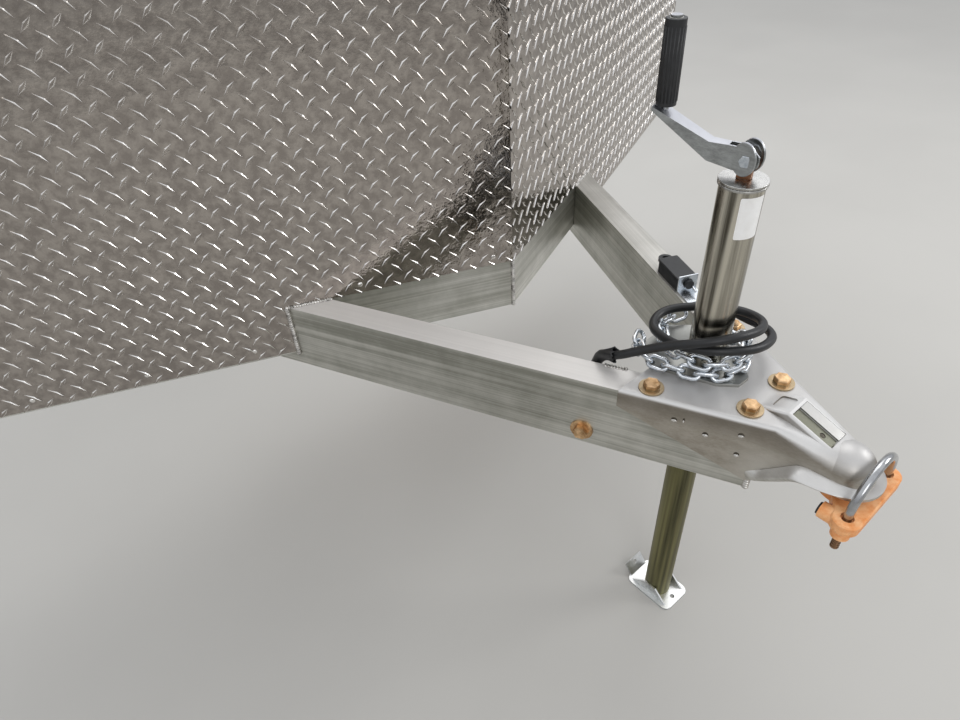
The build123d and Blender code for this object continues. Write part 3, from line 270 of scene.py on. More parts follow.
for side, sign in sides:
    bm = bmesh.new()
    for turn, shift, lug_length, lug_width in ((45, 0.0, 0.0305, 0.0058), (-45, 0.5, 0.0275, 0.0072)):
        ring = bmesh.ops.create_circle(bm, cap_ends=True, segments=4, radius=lug_length / 2)["verts"]
        bmesh.ops.scale(bm, vec=(1, lug_width / lug_length, 1), verts=ring)
        top = bmesh.ops.extrude_face_region(bm, geom=list({f for v in ring for f in v.link_faces}))["geom"]
        top = [v for v in top if isinstance(v, bmesh.types.BMVert)]
        bmesh.ops.translate(bm, vec=(0, 0, lug_height), verts=top)
        bmesh.ops.scale(bm, vec=(0.86, 0.5, 1), verts=top)
        # the crown of a lug has the sheet's own polish; its flanks are painted brighter than the sheet, a painted
        # highlight
        for crown in {f for v in top for f in v.link_faces if all(corner in top for corner in f.verts)}:
            crown.material_index = 1
        both = ring + top
        bmesh.ops.rotate(bm, matrix=Matrix.Rotation(radians(turn), 3, "Z"), verts=both)
        place = (first_lug[0] + shift * lug_pitch, first_lug[1] + shift * lug_pitch, 0)
        bmesh.ops.translate(bm, vec=place, verts=both)
    across, upward = Vector((lug_pitch, 0, 0)), Vector((0, lug_pitch, 0))
    for step, span in ((across, face_length), (upward, face_high - face_low + lug_pitch)):
        cell = whole(bm)
        for count in range(1, int(span / lug_pitch) + 2):
            copy = bmesh.ops.duplicate(bm, geom=cell)["geom"]
            bmesh.ops.translate(bm, vec=step * count, verts=[v for v in copy if isinstance(v, bmesh.types.BMVert)])
    # lugs end where the sheet was sheared, and where it is notched over the rails
    for place, way in (((0.002, 0, 0), (-1, 0, 0)), ((face_length - 0.001, 0, 0), (1, 0, 0)),
                       ((0, face_low, 0), (0, -1, 0)), ((0, face_high, 0), (0, 1, 0))):
        bmesh.ops.bisect_plane(bm, geom=whole(bm), plane_co=place, plane_no=way, clear_outer=True)
    for place, way, limit in (((notch, 0, 0), (1, 0, 0), notch + lug_reach),
                              ((0, plate_low, 0), (0, 1, 0), notch + 1e-5)):
        low = [f for f in bm.faces if all(v.co.x < limit and v.co.y < plate_low + lug_reach for v in f.verts)]
        rims = list({v for f in low for v in f.verts} | {e for f in low for e in f.edges})
        bmesh.ops.bisect_plane(bm, geom=rims + low, plane_co=place, plane_no=way)
    hidden = [f for f in bm.faces if f.calc_center_median().x < notch and f.calc_center_median().y < plate_low]
    bmesh.ops.delete(bm, geom=hidden, context="FACES")
    bmesh.ops.transform(bm, matrix=nose_frame(sign), verts=bm.verts)
    bmesh.ops.recalc_face_normals(bm, faces=bm.faces)
    keep(f"guard_lugs_{side}", bm, painted_sheen_aluminium, smooth=False).data.materials.append(polished)

# Trailer cord: a seven-core jacketed cable, 13.6 mm thick, out of its gland between the rails, twice
# round the jack and over the street rail to its plug. It is stiff rubber, so its loops stay wide.
rubber = mottled("black rubber jacket", "#0e0f10", "#232426", {"Scale": 70.0, "Detail": 5.0}, Roughness=0.42)[0]
jack_y, frame_top = -0.938, 0.0508
# millimetres from the jack's axis at the rails' top
cord_route = [
    (-99.7, 130, -62), (-99.7, 130, -20), (-100, 112, 12), (-103, 84, 28), (-88, 58, 44), (-71, 26, 62),
    (-53, -17, 81), (-24, -44, 88), (14, -55, 82), (52, -52, 71), (81, -34, 61), (92, -4, 54), (86, 27, 50),
    (69, 54, 48), (36, 88, 45), (4, 97, 44), (-29, 83, 44), (-44, 52, 49), (-51, 14, 56), (-45, -22, 65.5),
    (-20, -50, 67), (12, -65, 61), (44, -67, 54), (76, -59, 46), (99, -36, 38), (104, -4, 33), (108, 26, 31),
    (135, 58, 28), (168, 80, 16), (188, 92, -18), (196, 94, -60), (198, 92, -106),
]
line = bpy.data.curves.new("cord", "CURVE")
line.dimensions = "3D"
line.bevel_depth, line.bevel_resolution, line.resolution_u, line.use_fill_caps = 0.0068, 6, 10, True
spline = line.splines.new("NURBS")
spline.points.add(len(cord_route) - 1)
for point, (x, y, z) in zip(spline.points, cord_route):
    point.co = (x / 1000, jack_y + y / 1000, frame_top + z / 1000, 1.0)
spline.order_u = 3
spline.use_endpoint_u = True
line.materials.append(rubber)
cord = bpy.data.objects.new("cord", line)
bpy.context.scene.collection.objects.link(cord)
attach(cord, "frame")
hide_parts("trailer_cord")
dress("cord_gland", rubber)
dress("cord_plug", rubber)
# black tape, torn at both ends, is wound round the cord where it comes up past the rail's edge
tape_route = ((-99.7, 130, -40), (-99.7, 129, -16), (-100, 119, 6), (-102, 101, 20), (-101, 84, 28))
tape_path = [Vector(p) / 1000 for p in tape_route]
legs = len(tape_path) - 1
bm = bmesh.new()
bmesh.ops.create_grid(bm, x_segments=36, y_segments=10, size=0.5)
for v in bm.verts:
    turn, share = 2 * pi * v.co.x, v.co.y + 0.5
    torn = 0.5 + 0.5 * sin(3 * turn + 0.7) * sin(5 * turn)
    at = legs * (share * 0.86 + 0.12 * torn * share)
    leg = min(int(at), legs - 1)
    spot = tape_path[leg].lerp(tape_path[leg + 1], at - leg)
    way = (tape_path[leg + 1] - tape_path[leg]).normalized()
    aside = way.cross(Vector((1, 0, 0))).normalized()
    # it lies on the cord in shallow wrinkles, and its far end curls up
    lift = 0.0074 + 0.0009 * sin(2 * turn + 9 * share) + 0.0022 * share ** 4 * (1 + sin(4 * turn))
    v.co = spot + (way.cross(aside) * cos(turn) + aside * sin(turn)) * lift + Vector((0, jack_y, frame_top))
tape_piece = keep("cord_tape", bm, rubber)
tape_piece.modifiers.new("tape thickness", "SOLIDIFY").thickness = 0.0009

# Welds and rivets: the tubes are MIG welded, each bead a row of scallops about 5 mm apart, and the guard
# is held to its frame by aluminium blind rivets with low round heads.
weld_metal = mottled("aluminium weld bead", "#8b8883", "#d6d3ce", {"Scale": 140.0, "Detail": 3.0}, (0.35, 0.6),
                     Metallic=1.0, Roughness=0.3)[0]
scallop_pitch = 0.0046
# each seam's two ends and its bead's radius, in mm
seams = [((0, -508.6, 48), (0, -508.6, -49), 5.0)]
for _, sign in sides:
    seams += [
        ((sign * 392.0, -341.5, 50.8), (sign * 320.0, -372.5, 50.8), 6.0),
        ((sign * 393.0, -342.0, 49), (sign * 393.0, -342.0, -50), 6.0),
        ((sign * 51.0, -1069.5, -75), (sign * 51.0, -1069.5, -48), 5.5),
        ((sign * 106.5, -836.0, 50.4), (sign * 92.0, -864.0, 50.4), 4.2),
    ]
bm = bmesh.new()
for start, end, radius in seams:
    start, end = Vector(start) / 1000, Vector(end) / 1000
    run = end - start
    count = round(run.length / scallop_pitch)
    lie = run.to_track_quat("X", "Z").to_matrix().to_4x4()
    for step in range(count + 1):
        scallop = bmesh.ops.create_uvsphere(bm, u_segments=10, v_segments=6, radius=radius / 1000)["verts"]
        bmesh.ops.scale(bm, vec=(0.56, 1, 0.8), verts=scallop)
        # every scallop leans a little on the one before it
        lean = Matrix.Rotation(radians(-24 + 7 * sin(2.1 * step)), 4, "Y")
        bmesh.ops.transform(bm, matrix=Matrix.Translation(start + run * step / count) @ lie @ lean, verts=scallop)
keep("weld_beads", bm, weld_metal)

rivet_radius, rivet_rise = 0.0048, 0.42
# along and up the sheet: over the rail, under the rest of it, and along its top
rivets = [(0.0389 + 0.2533 * k, 0.068) for k in range(2)] + [(0.5027 + 0.1876 * k, -0.027) for k in range(4)]
rivets += [(0.0389 + 0.2533 * k, 0.7025) for k in range(5)]
for side, sign in sides:
    bm = bmesh.new()
    for along, up_at in rivets:
        head = bmesh.ops.create_uvsphere(bm, u_segments=14, v_segments=8, radius=rivet_radius)["verts"]
        bmesh.ops.scale(bm, vec=(1, 1, rivet_rise), verts=head)
        bmesh.ops.translate(bm, vec=(along, up_at, 0), verts=head)
    bmesh.ops.transform(bm, matrix=nose_frame(sign), verts=bm.verts)
    bmesh.ops.recalc_face_normals(bm, faces=bm.faces)
    keep(f"guard_rivets_{side}", bm, painted_sheen_aluminium)


# Coupler: one stamping of 5 mm steel, galvanised. Its top is painted pale and its rolled edges painted bright,
# painted highlights; its flanges are stained, with painted shade under the rolled edge. The lever is a dull strip
# that lies in a slot of the ridge, its darkness partly painted shade of the slot.
def galvanised(name, low, high, top, shine, stretch=(1, 1, 1), matt=0.0):
    """Zinc on steel: cloudy patches some 25 mm across, finer mottling, and a painted highlight: what looks up is
    painted paler.
    """
    material, tree, shader = finish_material(name, Metallic=1.0)
    where = add(tree, "ShaderNodeTexCoord")
    laid = add(tree, "ShaderNodeMapping", {"Scale": stretch}, {"Vector": where.outputs["Object"]})
    cloud = add(tree, "ShaderNodeTexNoise", {"Scale": 38.0, "Detail": 4.0, "Roughness": 0.6},
                {"Vector": laid.outputs["Vector"]})
    mottle = add(tree, "ShaderNodeTexNoise", {"Scale": 260.0, "Detail": 3.0}, {"Vector": laid.outputs["Vector"]})
    mixed = add(tree, "ShaderNodeMix", {"Factor": 0.35}, {2: cloud.outputs["Fac"], 3: mottle.outputs["Fac"]},
                data_type="FLOAT")
    ramp = add(tree, "ShaderNodeValToRGB", links={"Fac": mixed.outputs[0]}, shades=((0.38, low), (0.64, high)))
    # painted highlight: the faces that look up are painted paler, as if lit from above
    paint_lit_tops(tree, shader, ramp, top, (0.25, 0.8), 0.8, matt)
    rough = add(tree, "ShaderNodeMapRange",
                {"From Min": 0.3, "From Max": 0.7, "To Min": shine - 0.08, "To Max": shine + 0.1},
                {"Value": mixed.outputs[0]})
    tree.links.new(rough.outputs["Result"], shader.inputs["Roughness"])
    bump = add(tree, "ShaderNodeBump", {"Strength": 0.2, "Distance": 0.0004}, {"Height": mixed.outputs[0]})
    tree.links.new(bump.outputs["Normal"], shader.inputs["Normal"])
    return material


stamping = galvanised("galvanised stamping", "#a19a8f", "#b9b3a9", "#c9c8c7", 0.42, (1.5, 0.5, 1.7), 0.7)
tree, shader = stamping.node_tree, stamping.node_tree.nodes["Principled BSDF"]
facing = add(tree, "ShaderNodeNewGeometry")
up = add(tree, "ShaderNodeSeparateXYZ", links={"Vector": facing.outputs["Normal"]}).outputs["Z"]
where = add(tree, "ShaderNodeTexCoord")
place = add(tree, "ShaderNodeSeparateXYZ", links={"Vector": where.outputs["Object"]})
y, z = place.outputs["Y"], place.outputs["Z"]
# the rolled edges between the top and the flanges are painted bright, a painted highlight
rolled = add(tree, "ShaderNodeMapRange", {"From Min": 0.3, "From Max": 0.62}, {"Value": up}).outputs["Result"]
flat = add(tree, "ShaderNodeMapRange", {"From Min": 0.97, "From Max": 0.8}, {"Value": up}).outputs["Result"]
behind_ball = add(tree, "ShaderNodeMapRange", {"From Min": -1.168, "From Max": -1.135}, {"Value": y})
behind_ball = behind_ball.outputs["Result"]
painted_edge_highlight = add(tree, "ShaderNodeMath", links={0: rolled, 1: flat}, operation="MULTIPLY")
painted_edge_highlight = add(tree, "ShaderNodeMath", links={0: painted_edge_highlight.outputs[0], 1: behind_ball}, operation="MULTIPLY")
# the ridge's flanks, which stand over the plate's own fall of 0.33 toward the ball, get the same painted highlight
fall = add(tree, "ShaderNodeMath", {1: -0.33, 2: -0.361}, {0: y}, operation="MULTIPLY_ADD")
over = add(tree, "ShaderNodeMath", links={0: z, 1: fall.outputs[0]}, operation="ADD")
ridge = add(tree, "ShaderNodeMapRange", {"From Min": 0.049, "From Max": 0.0575}, {"Value": over.outputs[0]})
ridge = add(tree, "ShaderNodeMath", links={0: ridge.outputs["Result"], 1: behind_ball}, operation="MULTIPLY")
painted_edge_highlight = add(tree, "ShaderNodeMath", links={0: painted_edge_highlight.outputs[0], 1: ridge.outputs[0]}, operation="MAXIMUM")
painted_edge_highlight = add(tree, "ShaderNodeMath", {1: 0.75}, {0: painted_edge_highlight.outputs[0]}, operation="MULTIPLY")
plain = shader.inputs["Base Color"].links[0].from_socket
edge_highlighted = add(tree, "ShaderNodeMix", {7: tone("#dcdbd9")}, {0: painted_edge_highlight.outputs[0], 6: plain}, data_type="RGBA")
# painted shade: the flanges are painted darkest under the rolled edge, and painted light makes them pale again where
# the neck is drawn in above the lip
side = add(tree, "ShaderNodeMath", {0: 1.0}, {1: rolled}, operation="SUBTRACT").outputs[0]
high = add(tree, "ShaderNodeMapRange", {"From Min": 0.014, "From Max": 0.044, "To Max": 0.55}, {"Value": z})
high = add(tree, "ShaderNodeMath", links={0: high.outputs["Result"], 1: side}, operation="MULTIPLY")
shade = add(tree, "ShaderNodeMix", {7: tone("#69635a")}, {0: high.outputs[0], 6: edge_highlighted.outputs[2]}, data_type="RGBA")
low = add(tree, "ShaderNodeMapRange", {"From Min": 0.028, "From Max": -0.02, "To Max": 0.7}, {"Value": z})
neck = add(tree, "ShaderNodeMapRange", {"From Min": -1.03, "From Max": -1.085}, {"Value": y})
low = add(tree, "ShaderNodeMath", links={0: low.outputs["Result"], 1: neck.outputs["Result"]}, operation="MULTIPLY")
low = add(tree, "ShaderNodeMath", links={0: low.outputs[0], 1: side}, operation="MULTIPLY")
drawn = add(tree, "ShaderNodeMix", {7: tone("#d6d3cc")}, {0: low.outputs[0], 6: shade.outputs[2]}, data_type="RGBA")
tree.links.new(drawn.outputs[2], shader.inputs["Base Color"])
# the ridge is as matt as the top that looks up, part of its painted highlight
cover = add(tree, "ShaderNodeMath", {1: -0.7, 2: 1.0}, {0: ridge.outputs[0]}, operation="MULTIPLY_ADD")
bare = shader.inputs["Metallic"].links[0].from_socket
least = add(tree, "ShaderNodeMath", links={0: bare, 1: cover.outputs[0]}, operation="MINIMUM")
tree.links.new(least.outputs[0], shader.inputs["Metallic"])
dress("coupler", stamping)
soften("coupler", 0.0012, 35)
# the ball dome stands a little proud of the neck; it is cut off inside the shell
dome_radius, dome_cut = 0.0365, -0.008
bm = bmesh.new()
bmesh.ops.create_uvsphere(bm, u_segments=56, v_segments=28, radius=dome_radius)
bmesh.ops.scale(bm, vec=(1, 1, 0.98), verts=bm.verts)
bmesh.ops.bisect_plane(bm, geom=whole(bm), plane_co=(0, 0, dome_cut), plane_no=(0, 0, -1), clear_outer=True)
bmesh.ops.translate(bm, vec=(0, -1.1705, 0.0158), verts=bm.verts)
keep("ball_dome", bm, stamping)
# the lever's far half is painted bright, a painted highlight; the dark near half is partly the lever's own darker
# zinc and partly painted shade of its slot
lever_zinc = galvanised("dull zinc lever", "#5b5b50", "#737366", "#7d7d70", 0.4)
tree, shader = lever_zinc.node_tree, lever_zinc.node_tree.nodes["Principled BSDF"]
where = add(tree, "ShaderNodeTexCoord")
across = add(tree, "ShaderNodeSeparateXYZ", links={"Vector": where.outputs["Object"]})
far_half = add(tree, "ShaderNodeMath", {1: 0.0006}, {0: across.outputs["X"]}, operation="GREATER_THAN")
dull = shader.inputs["Base Color"].links[0].from_socket
painted_far_half_highlight = add(tree, "ShaderNodeMix", {7: tone("#b6b5b2")}, {0: far_half.outputs[0], 6: dull}, data_type="RGBA")
tree.links.new(painted_far_half_highlight.outputs[2], shader.inputs["Base Color"])
dress("latch_lever", lever_zinc)
soften("latch_lever", 0.0006, 35)

# The coupler's lip is drawn out of its wall and rolled over in one curve, 2 mm thick at its edge. In mm:
# stations along the curb side's, from the rail's end to the ball, each with the places where the curve
# leaves the wall, stands farthest out, and ends.
lip_stations = [
    ((-59.5, -1062, -38), (-60.5, -1068, -45), (-60.0, -1070, -52)),
    ((-53.4, -1078, -30), (-60.2, -1082, -38), (-62.5, -1082, -43)),
    ((-49.6, -1088, -22), (-61.0, -1091, -29), (-63.5, -1092.5, -35)),
    ((-48.0, -1098, -12), (-61.6, -1101, -19), (-63.5, -1103, -26.4)),
    ((-46.0, -1108, -3), (-62.0, -1111, -9.5), (-63.5, -1112, -18.8)),
    ((-44.5, -1117, 6), (-62.3, -1120, -0.8), (-63.5, -1120, -12)),
    ((-43.0, -1126, 14), (-62.5, -1129, 7.5), (-63.5, -1129, -3.5)),
    ((-41.0, -1138, 16), (-61.5, -1139.5, 8.4), (-63.5, -1139.5, 4.0)),
    ((-39.3, -1149, 15), (-58.0, -1150, 8), (-60.5, -1150.5, 4.3)),
    ((-37.4, -1160, 14.5), (-55.8, -1161, 7.8), (-58.7, -1161.3, 4.4)),
    ((-35.4, -1174, 14), (-51.8, -1176, 7.6), (-53.5, -1176, 4.4)),
    ((-31.5, -1187, 14), (-45.2, -1190, 7.5), (-48.0, -1190.3, 4.4)),
    ((-21.0, -1201, 13), (-32.0, -1205, 7.2), (-34.0, -1207, 4.4)),
]
last_station = len(lip_stations) - 1
# the lip's zinc is a brighter copy of the stamping's: painted light
painted_light_lip_zinc = galvanised("drawn lip zinc", "#b3b0a8", "#d3d1cb", "#dbdad8", 0.38, (1.5, 0.4, 1.7), 0.6)
for side, sign in sides:
    bm = bmesh.new()
    bmesh.ops.create_grid(bm, x_segments=last_station, y_segments=6, size=0.5)
    for v in bm.verts:
        station = lip_stations[round((v.co.x + 0.5) * last_station)]
        wall, far_out, end = [Vector(place) / 1000 for place in station]
        t = v.co.y + 0.5
        place = wall.lerp(end, t) + (far_out - wall.lerp(end, 0.5)) * 4 * t * (1 - t)
        v.co = Vector((-sign * place.x, place.y, place.z))
    bmesh.ops.recalc_face_normals(bm, faces=bm.faces)
    if sum(f.normal.z for f in bm.faces) < 0:
        bmesh.ops.reverse_faces(bm, faces=bm.faces)
    lip = keep(f"drawn_lip_{side}", bm, painted_light_lip_zinc)
    thick = lip.modifiers.new("sheet", "SOLIDIFY")
    thick.thickness, thick.offset = 0.002, -1
    even = lip.modifiers.new("even curve", "SUBSURF")
    even.levels = even.render_levels = 2

# Press marks: four half-moon dents and one short slot mark punched in each flange of the coupler. A dimple's painted
# shadow lies above its own raised rim, which is painted bright, a painted highlight.
painted_highlight = cloudy("burnished steel", "#bebbb5", "#efedea", 420.0, (0.16, 0.32))
shadowed = cloudy("shadowed steel", "#49453d", "#5f5a51", 300.0, (0.4, 0.55))
mark_radius = 0.0045
# from the middle, along and up, in mm, and how much of a full mark's width
marks = ((105.4, -966.4, 26.1, 1), (100.0, -978.4, 28.9, 0.36), (86.0, -1008.0, 12.6, 1),
         (66.4, -1050.2, 28.5, 1), (66.2, -1050.7, -10.5, 0.9))
bm = bmesh.new()
for _, sign in sides:
    for aside, along, up_at, width in marks:
        out, upward = Vector((sign * 0.9063, -0.4226, 0)), Vector((0, 0, 1))
        # the rim, which is the piece's first material, and the dimple, which is its second
        for which, lift, height, depth in ((0, -0.0009, 0.7, 0.42), (1, 0.0012, 1, 0.24)):
            dent = bmesh.ops.create_uvsphere(bm, u_segments=12, v_segments=8, radius=mark_radius)["verts"]
            bmesh.ops.scale(bm, vec=(width, height, depth), verts=dent)
            place = Vector((sign * aside, along, up_at)) / 1000 + Vector((0, 0, lift))
            bmesh.ops.transform(bm, matrix=standing(place, upward.cross(out), upward, out), verts=dent)
            for f in {f for v in dent for f in v.link_faces}:
                f.material_index = which
keep("flange_marks", bm, painted_highlight).data.materials.append(shadowed)

# Coupler bolts: half inch flange bolts through the coupler and the rails, with the chains' bolts like
# them. They are in yellow zinc, whose colour runs from gold to a rusty brown.
yellow_zinc, tree, shader, where, bloom, ramp = mottled(
    "yellow zinc", "#a17d57", "#efcb9f", {"Scale": 75.0, "Detail": 4.0, "Roughness": 0.6}, (0.34, 0.66), Metallic=1.0)
rough = add(tree, "ShaderNodeMapRange", {"To Min": 0.28, "To Max": 0.5}, {"Value": bloom.outputs["Fac"]})
tree.links.new(rough.outputs["Result"], shader.inputs["Roughness"])
# the round flanges on the plate, up to 61 mm above the rails' middle, have dulled to a grey brown
z = add(tree, "ShaderNodeSeparateXYZ", links={"Vector": where.outputs["Object"]}).outputs["Z"]
low = add(tree, "ShaderNodeMapRange", {"From Min": 0.0612, "From Max": 0.0602, "To Max": 0.7}, {"Value": z})
over_plate = add(tree, "ShaderNodeMath", {1: 0.05}, {0: z}, operation="GREATER_THAN")
dulled = add(tree, "ShaderNodeMath", links={0: low.outputs["Result"], 1: over_plate.outputs[0]}, operation="MULTIPLY")
flange = add(tree, "ShaderNodeMix", {7: tone("#a3987f")}, {0: dulled.outputs[0], 6: ramp.outputs["Color"]},
             data_type="RGBA")
tree.links.new(flange.outputs[2], shader.inputs["Base Color"])
for node in ("coupler_bolts", "chain_bolts"):
    dress(node, yellow_zinc)
    soften(node, 0.0007, 25)

# Safety chains: welded links of 6 mm wire, bright zinc, heaped round the jack. Each link is bent round
# wire that stands where its plain link of the CAD chain stands.
bright_zinc = galvanised("bright zinc", "#b4bcc4", "#e2e8ee", "#eef1f4", 0.24)
wire_gain = 1.04  # the plain links' wire has flat sides, so it measures less across


def joined(start):
    """The vertices of a mesh that edges join to the given ones."""
    found, reach = set(), set(start)
    while reach:
        found |= reach
        reach = {e.other_vert(v) for v in reach for e in v.link_edges} - found
    return found


for side, _ in sides:
    plain = bmesh.new()
    plain.from_mesh(nodes[f"safety_chain_{side}"].data)
    bmesh.ops.remove_doubles(plain, verts=plain.verts, dist=1e-6)
    bm = bmesh.new()
    done = set()
    for first in plain.verts:
        if first in done:
            continue
        island = joined([first])
        done |= island
        points = numpy.array([v.co[:] for v in plain.verts if v in island])
        centre = (points.max(axis=0) + points.min(axis=0)) / 2
        axes = numpy.linalg.eigh(numpy.cov((points - points.mean(axis=0)).T))[1]
        ahead, aside, thick = [Vector(axes[:, k]) for k in (2, 1, 0)]
        spans = [float(numpy.ptp((points - centre) @ numpy.array(v))) for v in (ahead, aside, thick)]
        wire = spans[2] / 2 * wire_gain
        bend, half = spans[1] / 2 - wire, (spans[0] - spans[1]) / 2
        stood = Matrix.Translation((half, bend, 0)) @ Matrix.Rotation(pi / 2, 4, "Y")
        ring = bmesh.ops.create_circle(bm, segments=9, radius=wire, matrix=stood)["verts"]
        edges = list({e for v in ring for e in v.link_edges})
        # a bend round one end, then a straight side to the other, twice
        for end in (half, -half):
            spun = bmesh.ops.spin(bm, geom=edges, cent=(end, 0, 0), axis=(0, 0, -1), angle=pi, steps=6)
            edges = [g for g in spun["geom_last"] if isinstance(g, bmesh.types.BMEdge)]
            run = bmesh.ops.extrude_edge_only(bm, edges=edges)["geom"]
            bmesh.ops.translate(bm, vec=(-2 * end, 0, 0), verts=[g for g in run if isinstance(g, bmesh.types.BMVert)])
            edges = [g for g in run if isinstance(g, bmesh.types.BMEdge) and len(g.link_faces) == 1]
        link = list(joined(ring))
        bmesh.ops.transform(bm, matrix=standing(centre, ahead, aside, ahead.cross(aside)), verts=link)
        bmesh.ops.remove_doubles(bm, verts=link, dist=1e-5)
    plain.free()
    bmesh.ops.recalc_face_normals(bm, faces=bm.faces)
    chain = keep(f"round_links_{side}", bm, bright_zinc)
    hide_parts(f"safety_chain_{side}")


# Jack: plated drawn tube. Streaks of light and dark run along it, a painted reflection, and the flange welded round
# it is bright. The round leg has the same painted streaks, and its pressed foot is white with new zinc.
def painted_reflection_plating(name, dark, light, shine, contrast=(0.36, 0.62)):
    """Plated tube about the jack's axis, with a painted reflection: light and dark streaks some 6 to 20 mm broad that
    run its whole length.
    """
    material, tree, shader = finish_material(name, Metallic=1.0)
    where = add(tree, "ShaderNodeTexCoord")
    split = add(tree, "ShaderNodeSeparateXYZ", links={"Vector": where.outputs["Object"]})
    back = add(tree, "ShaderNodeMath", {1: -jack_y}, {0: split.outputs["Y"]}, operation="ADD")
    turn = add(tree, "ShaderNodeMath", links={0: back.outputs[0], 1: split.outputs["X"]}, operation="ARCTAN2")
    fall = add(tree, "ShaderNodeMath", {1: 0.9}, {0: split.outputs["Z"]}, operation="MULTIPLY")
    round_at = add(tree, "ShaderNodeCombineXYZ", links={"X": turn.outputs[0], "Y": fall.outputs[0]})
    broad = add(tree, "ShaderNodeTexNoise", {"Scale": 2.3, "Detail": 1.5}, {"Vector": round_at.outputs["Vector"]})
    fine = add(tree, "ShaderNodeTexNoise", {"Scale": 17.0, "Detail": 3.0}, {"Vector": round_at.outputs["Vector"]})
    mixed = add(tree, "ShaderNodeMix", {"Factor": 0.17}, {2: broad.outputs["Fac"], 3: fine.outputs["Fac"]},
                data_type="FLOAT")
    ramp = add(tree, "ShaderNodeValToRGB", links={"Fac": mixed.outputs[0]}, shades=zip(contrast, (dark, light)))
    tree.links.new(ramp.outputs["Color"], shader.inputs["Base Color"])
    rough = add(tree, "ShaderNodeMapRange",
                {"From Min": 0.3, "From Max": 0.7, "To Min": shine, "To Max": shine + 0.12},
                {"Value": mixed.outputs[0]})
    tree.links.new(rough.outputs["Result"], shader.inputs["Roughness"])
    return material, tree, shader, ramp, split


tube_plating, tree, shader, ramp, split = painted_reflection_plating("plated jack tube", "#545047", "#cbc6b8", 0.13, (0.38, 0.64))
# the flange at the plate is left bright
low = add(tree, "ShaderNodeMath", {1: 0.0622}, {0: split.outputs["Z"]}, operation="LESS_THAN")
flange = add(tree, "ShaderNodeMix", {7: tone("#a3a39f")}, {0: low.outputs[0], 6: ramp.outputs["Color"]},
             data_type="RGBA")
tree.links.new(flange.outputs[2], shader.inputs["Base Color"])
polish = shader.inputs["Roughness"].links[0].from_socket
dull = add(tree, "ShaderNodeMix", {3: 0.46}, {0: low.outputs[0], 2: polish}, data_type="FLOAT")
tree.links.new(dull.outputs[0], shader.inputs["Roughness"])
dress("jack_tube", tube_plating)
dress("jack_leg", painted_reflection_plating("plated jack leg", "#4a4836", "#8a865f", 0.38)[0])
soften("jack_tube", 0.0008, 35)
dress("jack_foot", galvanised("white zinc foot", "#a9adad", "#eceeee", "#f3f3f1", 0.36))
soften("jack_foot", 0.0009, 30)
dress("jack_cap", galvanised("zinc jack cap", "#96948e", "#c4c3bf", "#dddcd9", 0.27))
soften("jack_cap", 0.0006, 30)
# a blank white paper sticker, 34 mm round the tube and 57 mm high, with rounded corners
label_paper = mottled("blank white sticker", "#eceae6", "#fbfbfa", {"Scale": 90.0, "Detail": 4.0}, Roughness=0.42)[0]
label_radius, label_arc, label_middle, label_z, label_height = 0.02872, 68, -114, 0.3115, 0.057
bm = bmesh.new()
bmesh.ops.create_grid(bm, x_segments=12, y_segments=6, size=0.5)
corners = [v for v in bm.verts if len(v.link_edges) == 2]
bmesh.ops.bevel(bm, geom=corners, affect="VERTICES", offset=0.05, segments=3, profile=0.5, material=-1)
for v in bm.verts:
    turn = radians(label_middle + label_arc * v.co.x)
    v.co = Vector((label_radius * cos(turn), jack_y + label_radius * sin(turn), label_z + label_height * v.co.y))
keep("blank_sticker", bm, label_paper)

# Crank: a pressed steel arm, zinc plated, folds on its bolt above the cap. It was rolled the long way, and
# rust has started between its ears. A black fluted grip turns on its far end.
arm_zinc = galvanised("zinc crank arm", "#8e9090", "#b2b5b5", "#cbccd2", 0.34, (4, 0.9, 4))
dress("crank_arm", arm_zinc)
soften("crank_arm", 0.0008, 30)
# the arm's two round ears, 43 mm high
ear_radius, ear_thickness, ear_z = 0.0164, 0.0032, 0.3804
bm = bmesh.new()
for aside in (-0.0098, 0.0098):
    ear = bmesh.ops.create_cone(bm, cap_ends=True, segments=40, radius1=ear_radius, radius2=ear_radius,
                                depth=ear_thickness)["verts"]
    bmesh.ops.rotate(bm, matrix=Matrix.Rotation(pi / 2, 3, "Y"), verts=ear)
    bmesh.ops.scale(bm, vec=(1, 1, 1.3), verts=ear)
    bmesh.ops.translate(bm, vec=(aside, jack_y, ear_z), verts=ear)
ears = keep("crank_ears", bm, arm_zinc, body="crank_arm_body", smooth=False)
ears.modifiers.new("rolled edges", "BEVEL").width = 0.0008
dress("crank_spindle", galvanised("spindle with first rust", "#7c4a2c", "#a08068", "#b5b0a8", 0.45))
soften("crank_spindle", 0.0006, 30)
dress("crank_bolt", bright_zinc)
soften("crank_bolt", 0.0006, 30)
black_plastic, tree, shader, _, grime, _ = mottled(
    "black moulded plastic", "#101112", "#2c2d2f", {"Scale": 110.0, "Detail": 5.0}, Roughness=0.42)
bump = add(tree, "ShaderNodeBump", {"Strength": 0.15, "Distance": 0.0003}, {"Height": grime.outputs["Fac"]})
tree.links.new(bump.outputs["Normal"], shader.inputs["Normal"])
dress("crank_grip", black_plastic)
soften("crank_grip", 0.001, 30)
